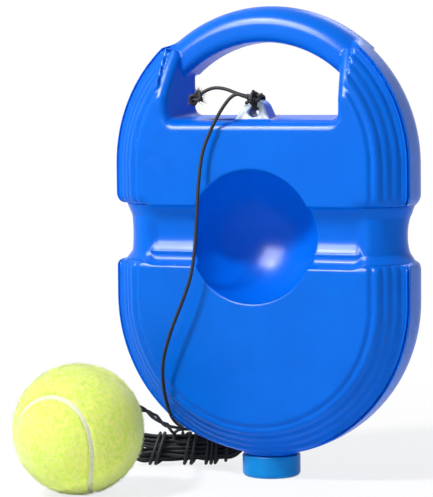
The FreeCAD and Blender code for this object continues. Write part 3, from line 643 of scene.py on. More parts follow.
def makeCap(values, material):
    # outer wall up from a rolled foot, over the lip and down inside
    profile = roundProfile([
        (0, 0, 0), (values["radius"], 0, values["footRound"]),
        (values["radius"], values["height"], values["lipRound"]),
        (values["bore"], values["height"], values["lipRound"]),
        (values["bore"], values["floor"], values["boreRound"]), (0, values["floor"], 0),
    ])
    mesh = turnedMesh("screwCap", profile, values["sides"])
    return makePiece("screwCap", mesh, material, "cap", ["screw_cap"])


def makeNeckThread(values, material):
    # a helix round the neck that fades in and out: radius * (cos a, sin a), rising by one pitch a turn
    turns = np.linspace(0, values["threadTurns"], int(values["threadTurns"] * values["threadSteps"]))
    angle = 2 * math.pi * turns
    line = np.stack([values["threadRadius"] * np.cos(angle), values["threadRadius"] * np.sin(angle),
                     values["threadLow"] + values["threadRise"] * turns], axis=-1) * mm
    toEnd = np.minimum(turns, values["threadTurns"] - turns)
    fade = np.clip(toEnd * values["threadFade"], values["threadLeast"], 1)
    mesh = tubeMesh("neckThread", line, values["threadSize"] * mm * fade, values["threadSides"], (0, 0, 1))
    return makePiece("neckThread", mesh, material, "base")


plainFinish = {
    "dark": 0.72, "roughnessSpread": 0.12, "detail": 4.0, "detailRoughness": 0.6, "depth": 0.0001,
    # colour, roughness, scale and strength of the grain
    "linerFoam": ("e6e6e0", 0.75, 900.0, 0.3), "seamRubber": ("e4e6c8", 0.7, 500.0, 0.5),
    "coreRubber": ("2b2b2b", 0.6, 400.0, 0.3), "frayedYarn": ("33291f", 0.8, 900.0, 0.3),
}


def makePlainFinish(name, values):
    # a matt finish with a fine grain that darkens it a little
    color, roughness, scale, strength = values[name]
    look = Finish(name)
    grain = look.noise(look.place(), scale, values["detail"], values["detailRoughness"])
    bright = shade(color)
    dark = (*(part * values["dark"] for part in bright[:3]), 1.0)
    return look.plastic({
        "Base Color": look.mixColor(grain, bright, dark),
        "Roughness": grain * values["roughnessSpread"] + roughness,
        "Normal": look.bump(grain, strength, values["depth"]),
    })


makeCap(capShape, makeCapPlastic(capShape))
makeNeckThread(capShape, blue)
dress(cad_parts["cap_liner"].data, makePlainFinish("linerFoam", plainFinish))
print("cap, liner and thread")


# Ball

ballShape = {
    "centre": (-70.0, -88.0, 33.25), "radius": 33.25, "felt": 3.0,
    "turn": -142.4, "tilt": 2.9, "roll": -28.3,
    "share": 0.25, "seamWidth": 2.4, "seamFoot": 0.5, "seamShows": 1.5, "seamDrop": 0.95,
    # the seam's section: share of the half width, drop below the crown
    "seamSection": ((-1.0, 0.25), (-0.6, 0.05), (0.0, 0.0), (0.6, 0.05), (1.0, 0.25)),
    "seamSteps": 480, "seamWobble": 0.02, "seamWaves": 23,
    "rows": 190, "columns": 110, "skin": 0.35, "edgeRound": 1.4, "edgeDrop": 0.9,
    "lumps": 0.18, "lumpWaves": 60, "lumpScales": (8, 30),
    "fibres": 18500, "fibreLength": 2.1, "fibreSize": 0.05, "fibreLengths": (0.5, 1.35),
    "fibreLifts": (0.12, 0.75), "fibreCurl": 0.5, "fibreRoot": 0.5, "fibreLean": 0.1, "fibreFloor": 0.05,
    # how far a fibre has risen and leant at its bend and its tip, and how thin it is at the bend
    "fibreBend": (0.6, 0.5), "fibreTip": (0.7, 0.95), "fibreThin": 0.8,
    "panelWeld": 0.004, "seamWeld": 0.002, "exitAzimuth": 50.0, "exitRise": 14.0,
}


def ballAxes(values):
    # the seam's own axes turned to where the ball lies: turn about Z, tilt about Y, roll about X
    turn, tilt, roll = (math.radians(values[key]) for key in ("turn", "tilt", "roll"))
    spin = Matrix.Rotation(turn, 3, "Z") @ Matrix.Rotation(tilt, 3, "Y") @ Matrix.Rotation(roll, 3, "X")
    return np.array(spin)


def seamCurve(t, share):
    # the seam on a unit ball: a closed wave whose third harmonic is the given share
    wave = 1 - share
    return np.stack([wave * np.cos(t) + share * np.cos(3 * t), wave * np.sin(t) - share * np.sin(3 * t),
                     2 * math.sqrt(wave * share) * np.sin(2 * t)], axis=-1)


def arcBetween(first, last, share):
    # great-circle blend of two unit vectors, also where they are the same
    angle = np.maximum(np.arccos(np.clip((first * last).sum(-1, keepdims=True), -1, 1)), 1e-6)
    return unit(np.sin((1 - share) * angle) * first + np.sin(share * angle) * last)


def seamDistance(points, values):
    # angle from each unit vector to the nearest point of the seam's middle line
    samples = unit(seamCurve(np.linspace(0, 2 * math.pi, 720, endpoint=False), values["share"]))
    nearest = np.concatenate([np.max(block @ samples.T, axis=1) for block in np.array_split(points, 40)])
    return np.arccos(np.clip(nearest, -1, 1))


def lumpField(points, values, dice):
    # sum of soft waves in random directions, about -1 to 1
    count = values["lumpWaves"]
    ways = unit(dice.normal(size=(count, 3))) * dice.uniform(*values["lumpScales"], (count, 1))
    return np.sin(points @ ways.T + dice.uniform(0, 6.28, count)).sum(1) / math.sqrt(count)


def panelPoints(values, lower):
    # unit vectors of one felt panel: great-circle arcs between the seam's two sides, from tip to tip
    along = np.linspace(0, 1, values["rows"])
    t = math.pi / 4 - math.pi * smooth(along * 0.5 + 0.25 * (1 - np.cos(math.pi * along)))
    first, last = unit(seamCurve(t, values["share"])), unit(seamCurve(math.pi / 2 - t, values["share"]))
    across = np.linspace(0, 1, values["columns"])[None, :, None]
    grid = arcBetween(first[:, None], last[:, None], across)
    if lower:
        grid = np.stack([-grid[..., 1], grid[..., 0], -grid[..., 2]], axis=-1)[:, ::-1]
    return grid


def onBall(values, points, radius):
    # unit vectors in the seam's axes to places in millimetres
    return np.array(values["centre"]) + (points * radius[..., None]) @ ballAxes(values).T


def makePanel(name, node, values, lower, material, dice):
    # felt raised over the ball with its edges rolled down to the seam, closed by the same grid below
    grid = panelPoints(values, lower)
    flat = grid.reshape(-1, 3)
    gap = seamDistance(flat, values) * values["radius"] - values["seamShows"] / 2
    rise = smooth(gap / values["edgeRound"])
    bumps = values["lumps"] * lumpField(flat, values, dice)
    outer = values["radius"] - values["skin"] - values["edgeDrop"] * (1 - rise) + bumps * rise
    inner = np.full(len(flat), values["radius"] - values["felt"])
    shape = grid.shape[:2]
    points = np.concatenate([onBall(values, grid, outer.reshape(shape)),
                             onBall(values, grid, inner.reshape(shape))[:, ::-1]], axis=1)
    mesh = makeMesh(name, points.reshape(-1, 3) * mm, [gridFaces(*points.shape[:2])])
    closeMesh(mesh, values["panelWeld"])
    return makePiece(name, mesh, material, "ball", [node])


def makeSeam(values, material):
    # a low band along the seam: its crown sits below the felt and its foot goes down to the rubber
    t = np.linspace(0, 2 * math.pi, values["seamSteps"], endpoint=False)
    middle = unit(seamCurve(t, values["share"]))
    ahead = unit(np.roll(middle, -1, axis=0) - np.roll(middle, 1, axis=0))
    side = np.cross(ahead, middle)
    half = values["seamWidth"] / 2 + values["seamFoot"]
    low, top = values["radius"] - values["felt"], values["radius"] - values["seamDrop"]
    crown = [(half * share, top - drop) for share, drop in values["seamSection"]]
    section = [(-half, low), *crown, (half, low)]
    rings = np.stack([unit(middle + side * (x / values["radius"])) * height for x, height in section], axis=1)
    wobble = 1 + values["seamWobble"] * np.sin(values["seamWaves"] * t)[:, None, None] / values["radius"]
    points = np.array(values["centre"]) + (rings * wobble) @ ballAxes(values).T
    rows, columns = points.shape[:2]
    closedPoints = np.concatenate([points, points[:1]], axis=0)
    mesh = makeMesh("seamBand", closedPoints.reshape(-1, 3) * mm, [gridFaces(rows + 1, columns)])
    closeMesh(mesh, values["seamWeld"])
    return makePiece("seamBand", mesh, material, "ball", ["ball_seam"])


def makeFuzz(values, material, dice):
    # thousands of curved fibres that leave the felt at a slant and bend over
    roots = unit(dice.normal(size=(values["fibres"] * 2, 3)))
    gap = seamDistance(roots, values) * values["radius"] - values["seamShows"] / 2
    roots = roots[gap > -values["fibreLean"]][:values["fibres"]]
    count = len(roots)
    tangent = unit(np.cross(roots, dice.normal(size=(count, 3))))
    length = values["fibreLength"] * dice.uniform(*values["fibreLengths"], (count, 1))
    lift = dice.uniform(*values["fibreLifts"], (count, 1))
    across = np.cross(roots, tangent)
    root = roots * (values["radius"] - values["fibreRoot"])
    (bendRise, bendLean), (tipRise, tipLean) = values["fibreBend"], values["fibreTip"]
    middle = root + length * (roots * lift * bendRise + tangent * bendLean)
    curl = across * dice.uniform(-values["fibreCurl"], values["fibreCurl"], (count, 1))
    tip = root + length * (roots * lift * tipRise + tangent * tipLean + curl)
    sizes = (values["fibreSize"], values["fibreSize"] * values["fibreThin"])
    points = fibrePoints(root, middle, tip, across, roots, sizes)
    points = np.array(values["centre"]) + points @ ballAxes(values).T
    points = points[points[..., 2].min(axis=1) > values["fibreFloor"]]
    return makePiece("feltFuzz", fibreMesh("feltFuzz", points), material, "ball")


feltFinish = {
    # paleColor is the painted sheen colour of the felt's standing tufts, also mixed at random into the fibres
    "color": "f6ff80", "deepColor": "dcfa56", "paleColor": "fdffd6",
    # scale, detail and roughness of each noise, and between which values it blends
    "clump": (480.0, 5.0, 0.62), "patch": (60.0, 3.0, 0.5),
    "wool": (1500.0, 3.0, 0.7), "fibre": (420.0, 3.0, 0.6),
    "clumpShare": 0.8, "clumpFade": (0.36, 0.58), "sheenShare": 0.55, "sheenFade": (0.52, 0.78),
    "fibreFade": (0.4, 0.65), "woolBump": (0.5, 0.0003), "clumpBump": (0.85, 0.0009),
    "roughness": 0.95, "fibreRoughness": 0.9, "gloss": 0.1,
    "sheen": 0.8, "sheenRoughness": 0.38, "fibreSheen": 0.3,
}


def makeFelt(values):
    # felt: matted clumps in two sizes, with a painted sheen that makes it paler where they stand up
    look = Finish("ballFelt")
    place = look.place()
    clump, patch, wool = (look.noise(place, *values[key]) for key in ("clump", "patch", "wool"))
    mixed = clump * values["clumpShare"] + patch * (1 - values["clumpShare"])
    blend = look.smoothStep(mixed, *values["clumpFade"])
    color = look.mixColor(blend, shade(values["deepColor"]), shade(values["color"]))
    # painted sheen: the paler colour where the wool's bumps stand highest
    raised = look.smoothStep(wool, *values["sheenFade"]) * values["sheenShare"]
    color = look.mixColor(raised, color, shade(values["paleColor"]))
    bump = look.bump(wool, *values["woolBump"], look.bump(clump, *values["clumpBump"]))
    return look.plastic({
        "Base Color": color, "Roughness": values["roughness"], "Normal": bump,
        "Sheen Weight": values["sheen"], "Sheen Roughness": values["sheenRoughness"],
        "Specular IOR Level": values["gloss"],
    })


def makeFibreFinish(values):
    look = Finish("feltFibre")
    blend = look.smoothStep(look.noise(look.place(), *values["fibre"]), *values["fibreFade"])
    return look.plastic({
        "Base Color": look.mixColor(blend, shade(values["color"]), shade(values["paleColor"])),
        "Roughness": values["fibreRoughness"], "Specular IOR Level": values["gloss"],
        "Sheen Weight": values["fibreSheen"],
    })


felt = makeFelt(feltFinish)
makePanel("feltPanelA", "felt_panel_a", ballShape, False, felt, shapeDice)
makePanel("feltPanelB", "felt_panel_b", ballShape, True, felt, shapeDice)
makeSeam(ballShape, makePlainFinish("seamRubber", plainFinish))
makeFuzz(ballShape, makeFibreFinish(feltFinish), shapeDice)
coreRubber = makePlainFinish("coreRubber", plainFinish)
for name in ("core_half_a", "core_half_b", "ball_plug"):
    dress(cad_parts[name].data, coreRubber)
print("ball")


# Elastic cord

cordShape = {
    "radius": 0.9, "diameter": 1.8, "strandDiameter": 1.7, "spacing": 0.5, "sides": 14,
    "color": "141518", "paleColor": "2a2c32", "roughness": 0.62, "gloss": 0.12, "sheen": 0.06,
    "braidPitch": 1.1, "braidFade": (-0.6, 0.8), "braid": (0.5, 0.0001),
}


def makeCordFinish(values):
    # braided sleeve: two crossed diagonal waves along and round the cord
    look = Finish("cordElastic")
    uv = look.node("ShaderNodeTexCoord", {}, {}, "UV")
    along = look.node("ShaderNodeSeparateXYZ", {}, {"Vector": uv}, "X") * (2 * math.pi / values["braidPitch"])
    around = look.node("ShaderNodeSeparateXYZ", {}, {"Vector": uv}, "Y") * (3 * math.pi)
    braid = (along + around).sine() * (along - around).sine()
    weave = look.smoothStep(braid, *values["braidFade"])
    color = look.mixColor(weave, shade(values["color"]), shade(values["paleColor"]))
    return look.plastic({
        "Base Color": color, "Roughness": values["roughness"], "Normal": look.bump(weave, *values["braid"]),
        "Sheen Weight": values["sheen"], "Specular IOR Level": values["gloss"],
    })


cordFinish = makeCordFinish(cordShape)

tailRoute = (
    (-0.3, -26.2, 200.0), (-4.3, -25.8, 200.6), (-8.8, -25.2, 202.0), (-14.2, -24.2, 203.9),
    (-20.2, -23.6, 204.7), (-25.2, -23.6, 203.4), (-28.6, -23.8, 201.0), (-34.6, -24.2, 196.8),
)
dropRoute = (
    (-0.3, -27.2, 199.4), (-3.2, -27.8, 200.2), (-6.2, -28.1, 201.5), (-9.6, -28.9, 199.8),
    (-13.0, -29.8, 195.4), (-16.5, -30.3, 189.9), (-19.6, -30.6, 183.8), (-22.5, -31.0, 177.6),
    (-25.2, -31.6, 169.3), (-26.8, -33.0, 152.3), (-27.3, -34.4, 128.4), (-29.5, -35.2, 108.8),
    (-34.4, -35.2, 95.5), (-39.8, -35.2, 83.7), (-44.0, -34.8, 72.7), (-47.2, -34.0, 62.1),
    (-48.2, -32.0, 50.7), (-48.9, -26.0, 40.0), (-51.9, -13.8, 30.8), (-55.4, 1.0, 24.8),
    (-57.2, 12.0, 21.4), (-58.679, 17.312, 20.4), (-58.679, 17.312, 17.8),
)


def routeLine(route, spacing=cordShape["spacing"]):
    return evenLine(nurbsLine(np.array(route) * mm), spacing * mm)


def cordPiece(name, line, nodes, reference, body="base", radius=cordShape["radius"],
              sides=cordShape["sides"]):
    # a tube of cord along a line
    mesh = tubeMesh(name, line, radius * mm, sides, reference)
    return makePiece(name, mesh, cordFinish, body, nodes)


def declareCord(line, pieces=()):
    # the line's every second point and its last point are put in a list that is not kept; pieces is not used
    line[:-1:2].tolist() + [line[-1].tolist()]


# Knots

knotShape = {
    # points, what the overhand wave reaches, how much thicker its cord is, how far back the tail's knot sits
    "points": 160, "reach": 2.9, "swell": 1.02, "tailBack": 4.4,
    # half length, radius and twist
    "lugKnot": (4.0, 3.1, 0.6), "lugKnotInner": (2.8, 2.3, 2.0),
    "tailKnot": (4.3, 3.0, 1.1), "ballKnot": (2.9, 3.2, 0.3),
}


def makeKnot(name, values, centre, axis, nodes=(), body="base"):
    # overhand knot: point = (sin a + 2 sin 2a, cos a - 2 cos 2a, -sin 3a) stretched to its size
    axis = unit(np.array(axis, float))
    helper = np.array((0.0, 0.0, 1.0)) if abs(axis[2]) < 0.8 else np.array((0.0, 1.0, 0.0))
    side = unit(np.cross(helper, axis))
    up = np.cross(axis, side)
    half, radius, twist = values[name]
    half, radius = half - cordShape["radius"], radius - cordShape["radius"]
    a = np.linspace(0, 2 * math.pi, values["points"] + 1) + twist
    along = (np.sin(a) + 2 * np.sin(2 * a)) / values["reach"] * half
    across = (np.cos(a) - 2 * np.cos(2 * a)) / values["reach"] * radius
    rise = -np.sin(3 * a) * radius
    line = (np.array(centre) + along[:, None] * axis + across[:, None] * side + rise[:, None] * up) * mm
    line = resample(line, values["points"])
    thick = cordShape["radius"] * values["swell"]
    return cordPiece(name, line, nodes, side + 0.4 * up + 0.2 * axis, body, thick)


lugShape = {
    # one strand of the doubled loop: from the knot into the hole, out at the back and over the lug's top
    "loop": ((2.2, -25.7, 198.2), (2.2, -25.3, 196.2), (1.4, -24.5, 194.7), (0.9, -21.1, 193.5),
             (0.0, -11.6, 193.5), (0.0, -8.6, 194.7), (0.0, -8.6, 197.7), (0.0, -8.6, 199.7),
             (0.0, -11.6, 200.0), (0.6, -20.1, 200.0), (1.4, -25.5, 200.1)),
    "pairGap": 0.7, "knot": (1.7, -26.3, 199.2), "knotAxis": (1.0, 0.0, 0.35), "innerAxis": (0.3, 0.2, 1.0),
    # short cut ends that stick out of the knot
    "stubs": (((4.2, -26.4, 200.0), (5.8, -26.1, 201.0), (7.0, -25.7, 200.8)),
              ((1.4, -26.6, 200.6), (1.9, -26.8, 202.2), (2.6, -26.8, 203.2)),
              ((0.0, -27.0, 197.6), (-1.2, -27.4, 196.6), (-2.2, -27.4, 196.8))),
    "stubSpacing": 0.25, "stubSides": 12,
}
lugPieces = []
for name, side, nodes in (("lugLoopA", 1, ["lug_knot"]), ("lugLoopB", -1, [])):
    loop = np.array(lugShape["loop"]) + (side * lugShape["pairGap"], 0, 0)
    lugPieces.append(cordPiece(name, routeLine(loop), nodes, (1, 0, 0)))
lugPieces.append(makeKnot("lugKnot", knotShape, lugShape["knot"], lugShape["knotAxis"]))
lugPieces.append(makeKnot("lugKnotInner", knotShape, lugShape["knot"], lugShape["innerAxis"]))
for index, stub in enumerate(lugShape["stubs"]):
    line = routeLine(stub, lugShape["stubSpacing"])
    lugPieces.append(cordPiece(f"lugStub{index + 1}", line, [], (0.1, 1, 0.2), sides=lugShape["stubSides"]))
dropLine = routeLine(dropRoute)
dropCord = cordPiece("dropCord", dropLine, ["cord_drop"], (1, 1, 0))
declareCord(dropLine, lugPieces)

tailLine = routeLine(tailRoute)
tailCord = cordPiece("tailCord", tailLine, ["cord_tail"], (0, 1, 0.2))
tailWay = unit(tailLine[-1] - tailLine[-4])
tailMiddle = tailLine[-1] / mm - tailWay * knotShape["tailBack"]
tailKnot = makeKnot("tailKnot", knotShape, tailMiddle, tailWay, ["tail_knot"])

frayShape = {
    "count": 110, "length": 5.4, "size": 0.11, "lengths": (0.35, 1.0), "curl": 0.3,
    # the directions of the tufts, how far they open, where they start and how widely
    "ways": ((0.35, -0.1, 1.0), (0.5, 0.0, 0.75), (1.0, -0.3, 0.0), (1.0, -0.2, -0.35), (-0.8, -0.1, -0.5)),
    "spread": 0.22, "start": 1.6, "startSpread": 0.5, "bendAt": 0.55, "bendShare": 0.4,
}


def makeFray(values, dice):
    # loose rubber and yarn ends at the tail's knot: thin curved tubes fanned about a few directions
    count = values["count"]
    ways = unit(np.array(values["ways"]))
    way = unit(ways[dice.integers(0, len(ways), count)] + dice.normal(0, values["spread"], (count, 3)))
    length = values["length"] * dice.uniform(*values["lengths"], (count, 1))
    root = tailMiddle + way * values["start"] + dice.normal(0, values["startSpread"], (count, 3))
    bend = unit(np.cross(way, dice.normal(size=(count, 3)))) * length
    bend *= dice.uniform(-values["curl"], values["curl"], (count, 1))
    middle = root + way * length * values["bendAt"] + bend * values["bendShare"]
    across = unit(np.cross(way, np.array((0.2, 1.0, 0.1))))
    sizes = (values["size"], values["size"])
    points = fibrePoints(root, middle, root + way * length + bend, across, np.cross(way, across), sizes)
    finish = makePlainFinish("frayedYarn", plainFinish)
    return makePiece("tailFray", fibreMesh("tailFray", points), finish, "base")


declareCord(tailLine, [tailKnot, makeFray(frayShape, shapeDice)])


# The two strands by the ball, twisted together until they part near the hank

strandShape = {
    "radius": 0.82, "pitch": 60.0, "phase": 30.0, "offset": 0.92, "mouthOffset": 1.5, "mouthLength": 9.0,
    "partStart": 41.0, "partLength": 8.0,
    "shared": ((-48.638, -62.542, 41.536), (-45.9, -59.2, 40.9), (-45.0, -52.8, 36.9), (-47.2, -42.8, 34.1),
               (-49.2, -30.8, 29.9)),
    "ends": (
        ((-51.1, -19.8, 26.3), (-54.4, -9.6, 23.3), (-57.5, -0.6, 20.6), (-59.4, 5.6, 18.8),
         (-60.320, 8.927, 18.4), (-60.320, 8.927, 16.4)),
        ((-50.9, -19.8, 26.4), (-51.8, -10.6, 24.4), (-50.9, -2.6, 22.6), (-49.6, 3.4, 21.3),
         (-50.2, 7.8, 20.7), (-53.6, 9.6, 20.5), (-57.2, 9.6, 20.0), (-59.6, 9.0, 18.8),
         (-60.320, 8.927, 16.8)),
    ),
    "knotDepth": 23.4,
}


def makeStrand(name, values, end, phase, nodes):
    # point = line + offset * (cos a * side + sin a * up), wide at the ball and fading where the strands part
    line = routeLine(values["shared"] + end)
    reach = lineLength(line)
    tangent, side, up = frameAlong(line, (1, -0.3, 0.12))
    turn = 2 * math.pi * reach / (values["pitch"] * mm) + math.radians(phase)
    part = smooth((reach / mm - values["partStart"]) / values["partLength"])
    mouth = 1 - smooth(reach / mm / values["mouthLength"])
    wide = values["offset"] + (values["mouthOffset"] - values["offset"]) * mouth
    offset = (1 - part) * wide * mm
    twisted = line + offset[:, None] * (np.cos(turn)[:, None] * side + np.sin(turn)[:, None] * up)
    return cordPiece(name, twisted, nodes, (0.25, -0.9, 0.6), "tether", values["radius"]), twisted


def ballExit(values):
    # the way in which the cord leaves the ball
    turn, rise = math.radians(values["exitAzimuth"]), math.radians(values["exitRise"])
    return np.array((math.cos(rise) * math.cos(turn), math.cos(rise) * math.sin(turn), math.sin(rise)))


ends, phase = strandShape["ends"], strandShape["phase"]
strandA, lineA = makeStrand("strandA", strandShape, ends[0], phase, ["cord_tether"])
strandB, lineB = makeStrand("strandB", strandShape, ends[1], phase + 180, [])
exitWay = ballExit(ballShape)
knotMiddle = np.array(ballShape["centre"]) + exitWay * strandShape["knotDepth"]
ballKnot = makeKnot("ballKnot", knotShape, knotMiddle, exitWay, ["ball_knot"], "tether")
declareCord(lineA, [ballKnot])
declareCord(lineB, [])


# Hank: upright layers of loops drawn in at the waist, and the turns tied round it

hankShape = {
    "centre": (-55.08, 14.86), "turn": 21.5, "half": 30.2, "waistHalf": 18.8, "pitch": 2.4, "axisZ": 9.2,
    "rows": (2, 3, 3, 2), "endRadius": 2.1, "endPoints": 7, "endSwell": 1.03, "endStretch": 0.8,
    "entry": -7.05, "exit": -2.45, "lead": ((0.0, 5.0), (0.0, 2.4), (0.9, 0.4)),
    "firstRun": (-2.5, 3.0, 9.0), "lastRun": (-13.8, -9.0, -5.85),
    "runStep": 6.0, "runSteps": 6, "runGap": 3.0,
    "delayShare": 0.25, "wobble": 0.14, "layerLifts": (0.0, 0.95, -0.35, 0.6),
    "taperFrom": 12.0, "taperLength": 18.0, "taperShare": 0.22, "taperLift": 1.3,
    "wrapStarts": (-17.4, -14.6, 0.2, 3.6, 11.2, 13.7, 15.9, 21.6, 22.4), "wrapDeep": 6.8,
    "wrapSlants": (3.0, 2.8, 1.9, 1.7, 1.2, 1.0, 0.9, 0.8, 0.8), "wrapSwell": 1.035, "wrapPoints": 12,
    "spacing": 0.6, "sides": 10,
}


def hankPlace(points):
    # (along, across, height) in the hank's own axes to the object's
    turn = math.radians(hankShape["turn"])
    x, y = hankShape["centre"]
    s, t, z = points[:, 0], points[:, 1], points[:, 2]
    return np.stack([x + s * math.cos(turn) - t * math.sin(turn),
                     y + s * math.sin(turn) + t * math.cos(turn), z], axis=-1)


def hankSlots(values):
    # (layer, row) of each loop in the order in which the cord fills them
    slots = []
    for layer, rows in enumerate(values["rows"]):
        order = range(rows) if layer % 2 else reversed(range(rows))
        slots += [(layer, row) for row in order]
    return slots


def hankAcross(values, layer):
    return (layer - (len(values["rows"]) - 1) / 2) * values["pitch"]


def hankEnd(values, slot, side, stretch):
    # points round a loop's end: middle + fan * (cos a, sin a), the cord running down on the right
    layer, row = slot
    fan = (values["endRadius"] + row * values["pitch"]) * values["endSwell"]
    bend = values["half"] - values["endRadius"] - (max(values["rows"]) - 1) * values["pitch"] + stretch
    a = math.pi / 2 - np.linspace(0, math.pi, values["endPoints"])
    return np.stack([side * (bend + fan * np.cos(a)), np.full(len(a), hankAcross(values, layer)),
                     values["axisZ"] + side * fan * np.sin(a)], axis=-1)


def hankRun(values, slot, places, side):
    # points on a loop's upper or lower run
    layer, row = slot
    height = values["axisZ"] + side * (row + 0.5) * values["pitch"]
    return np.array([(place, hankAcross(values, layer), height) for place in places])


def hankLead(values, slot, start, inward):
    # from the free end above the hank down into its first or last run
    layer, row = slot
    top = values["axisZ"] + (row + 0.5) * values["pitch"]
    return np.array([(start + inward * ahead, hankAcross(values, layer), top + rise)
                     for ahead, rise in values["lead"]])


def hankRoute(values, dice):
    slots = hankSlots(values)
    turns = len(slots) - 1
    waist, step, gap = values["waistHalf"], values["runStep"], values["runGap"]
    shift = 2 * waist / (1 + (turns - 1) * values["delayShare"])
    upper = (-waist, step - waist, -step, 0, step, waist - step, waist)
    parts = [hankLead(values, slots[0], values["entry"], 1),
             hankRun(values, slots[0], (*values["firstRun"], waist), 1)]
    dice.uniform(size=(turns + 1, 2))  # unused, drawn so that the draws after it stay as they are
    stretch = dice.uniform(-values["endStretch"], values["endStretch"], (2, len(values["rows"])))
    steps = waist - step * np.arange(values["runSteps"])
    for turn in range(turns):
        here, after = slots[turn], slots[turn + 1]
        start = waist - (turns - 1 - turn) * values["delayShare"] * shift
        parts.append(hankEnd(values, here, 1, stretch[0, here[0]]))
        parts.append(hankRun(values, here, [x for x in steps[:-1] if x > start + gap] + [start], -1))
        reach = [start - shift] if start - shift > gap - waist else []
        rest = [x for x in steps[2:] if x < start - shift - gap]
        parts.append(hankRun(values, after, reach + rest + [-waist], -1))
        parts.append(hankEnd(values, after, -1, stretch[1, after[0]]))
        if turn < turns - 1:
            parts.append(hankRun(values, after, upper, 1))
    parts.append(hankRun(values, slots[-1], (-waist, *values["lastRun"]), 1))
    parts.append(hankLead(values, slots[-1], values["exit"], -1)[::-1])
    route = np.concatenate(parts)
    loose = dice.normal(0, values["wobble"], route.shape)
    layers = (len(values["rows"]) - 1) / 2 + route[:, 1] / values["pitch"]
    loose[:, 2] += np.interp(layers, range(len(values["rows"])), values["layerLifts"])
    loose[:3] = 0
    loose[-3:] = 0
    return hankPlace(taperHank(route + loose, values))


def taperHank(points, values):
    # towards the right end the bundle gets lower and rises from the floor
    share = smooth((points[:, 0] - values["taperFrom"]) / values["taperLength"])
    height = (points[:, 2] - values["axisZ"]) * (1 - values["taperShare"] * share)
    lifted = values["axisZ"] + height + values["taperLift"] * share
    return np.stack([points[:, 0], points[:, 1], lifted], axis=-1)


def wrapRoute(values):
    # a turn: across = -deep * sin a, height = axis + tall * cos a, slanted and stepping ahead
    starts = np.array(values["wrapStarts"])
    turns = len(starts) - 1
    share = np.arange(turns * values["wrapPoints"] + 1) / values["wrapPoints"]
    turn = np.minimum(share.astype(int), turns - 1)
    within = share - turn
    a = 2 * math.pi * within
    tall = values["axisZ"] - cordShape["radius"]
    ahead = (starts[turn + 1] - starts[turn]) * np.maximum(0, 2 * within - 1)
    s = starts[turn] + ahead + np.array(values["wrapSlants"])[turn] * np.cos(a)
    t = -values["wrapDeep"] * values["wrapSwell"] * np.sin(a)
    z = values["axisZ"] + tall * values["wrapSwell"] * np.cos(a)
    return hankPlace(taperHank(np.stack([s, t, z], axis=-1), values))


hankTurn = math.radians(hankShape["turn"])
for name, route, node, reference in (
    ("hankCord", hankRoute(hankShape, shapeDice), "cord_hank", (-math.sin(hankTurn), math.cos(hankTurn), 0)),
    ("wrapCord", wrapRoute(hankShape), "cord_wrap", (math.cos(hankTurn), math.sin(hankTurn), 0)),
):
    line = routeLine(route, hankShape["spacing"])
    piece = cordPiece(name, line, [node], reference, sides=hankShape["sides"])
    declareCord(line)
print("cords")


# Camera, floor and lights

cameraShape = {
    "place": (0.4783325, -1.2014995, 0.2162821), "turn": 22.95178, "dip": 4.25021, "roll": -0.52915,
    "lens": 178.96, "sensor": 36,
}


def makeCamera(values):
    turn, dip, roll = (math.radians(values[key]) for key in ("turn", "dip", "roll"))
    level = Vector((math.cos(turn), math.sin(turn), 0))
    ahead = Vector((-math.sin(turn) * math.cos(dip), math.cos(turn) * math.cos(dip), -math.sin(dip)))
    upright = level.cross(ahead)
    right = math.cos(roll) * level + math.sin(roll) * upright
    up = math.cos(roll) * upright - math.sin(roll) * level
    data = bpy.data.cameras.new("camera")
    data.lens = values["lens"]
    data.sensor_width = values["sensor"]
    camera = bpy.data.objects.new("camera", data)
    bpy.context.scene.collection.objects.link(camera)
    turned = Matrix((right, up, -ahead)).transposed().to_4x4()
    turned.translation = values["place"]
    camera.matrix_world = turned
    bpy.context.scene.camera = camera


# name, place, target, size, power, colour and whether the lamp lights the colour under the gloss
lamps = (
    ("keyLamp", (-0.47, -0.84, 1.17), (0.0, 0.0, 0.12), 0.2, 18.8, (1.0, 0.99, 0.98), True),
    ("glossLamp", (-0.46, -1.03, 1.0), (0.0, 0.0, 0.12), 0.85, 160.0, (1.0, 0.98, 1.0), False),
    ("leftLamp", (-1.4, -0.8, 0.5), (0.0, 0.0, 0.1), 0.6, 2.3, (0.45, 1.0, 0.95), True),
    ("sideLamp", (1.5, -0.7, 0.7), (0.0, 0.0, 0.1), 0.6, 0.5, (0.93, 0.96, 1.0), True),
    ("backLamp", (0.0, 1.4, 1.2), (0.0, 0.0, 0.1), 0.7, 6.0, (1.0, 1.0, 1.0), True),
)


def makeLamp(name, place, target, size, power, color, lightsColor):
    data = bpy.data.lights.new(name, "AREA")
    data.size = size
    data.energy = power
    data.color = color
    lamp = bpy.data.objects.new(name, data)
    bpy.context.scene.collection.objects.link(lamp)
    lamp.location = place
    lamp.rotation_euler = (Vector(target) - Vector(place)).to_track_quat("-Z", "Y").to_euler()
    lamp.visible_diffuse = lightsColor


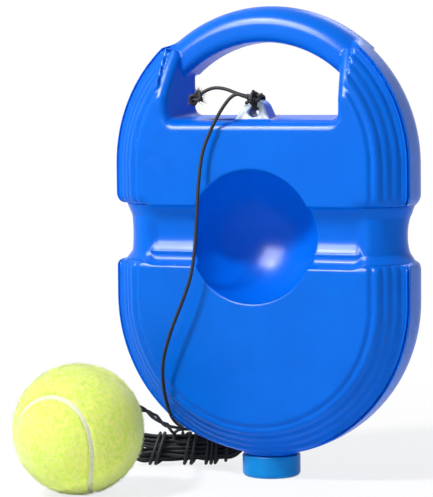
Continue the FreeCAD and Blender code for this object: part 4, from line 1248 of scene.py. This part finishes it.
floorShape = {
    "size": 6.0, "drop": 0.00005, "color": "f4f5f8", "glow": 0.80, "fade": (0.12, 0.45), "grainScale": 300.0,
    "worldLight": 0.30, "worldColor": (0.94, 0.96, 1.0, 1.0),
}


def raySeen(look):
    # 1 for rays from the camera, in a mirror or through glass
    rays = ("Is Camera Ray", "Is Glossy Ray", "Is Transmission Ray")
    camera, glossy, through = (look.node("ShaderNodeLightPath", {}, {}, ray) for ray in rays)
    return camera.most(glossy).most(through)


def makeFloor(values):
    ways = np.array([(-1, -1), (1, -1), (1, 1), (-1, 1)]) * values["size"] / 2
    corners = np.hstack([ways, np.full((4, 1), -values["drop"])])
    mesh = makeMesh("floor", corners, [np.array([(0, 1, 2, 3)])])
    look = Finish("floorPaper")
    seen = raySeen(look)
    grain = look.noise(look.place(), values["grainScale"], 2.0)
    color = look.mixColor(grain, shade(values["color"]), (1, 1, 1, 1))
    paper = look.node("ShaderNodeBsdfDiffuse", {}, {"Color": color})
    glow = look.node("ShaderNodeEmission", {}, {"Color": (1, 1, 1, 1), "Strength": 1.0})
    away = look.node("ShaderNodeVectorMath", {"operation": "LENGTH"}, {0: look.place()}, "Value")
    share = look.smoothStep(away, *values["fade"]) * (1 - values["glow"]) + values["glow"]
    mixed = look.node("ShaderNodeMixShader", {}, {0: seen * share, 1: paper, 2: glow})
    mesh.materials.append(look.finish(mixed))
    floor = bpy.data.objects.new("floor", mesh)
    bpy.context.scene.collection.objects.link(floor)


def makeWorld(values):
    # white where it is seen, a softer light where it falls on the object
    world = bpy.data.worlds.new("studio")
    bpy.context.scene.world = world
    look = Finish(None, world)
    sockets = {"Color": values["worldColor"], "Strength": values["worldLight"]}
    light = look.node("ShaderNodeBackground", {}, sockets)
    white = look.node("ShaderNodeBackground", {}, {"Color": (1, 1, 1, 1), "Strength": 1.0})
    mix = look.node("ShaderNodeMixShader", {}, {0: raySeen(look), 1: light, 2: white})
    look.node("ShaderNodeOutputWorld", {}, {"Surface": mix})


makeCamera(cameraShape)
makeFloor(floorShape)
makeWorld(floorShape)
for lamp in lamps:
    makeLamp(*lamp)
bpy.context.scene.view_settings.view_transform = "Standard"
print("camera, floor and lights")
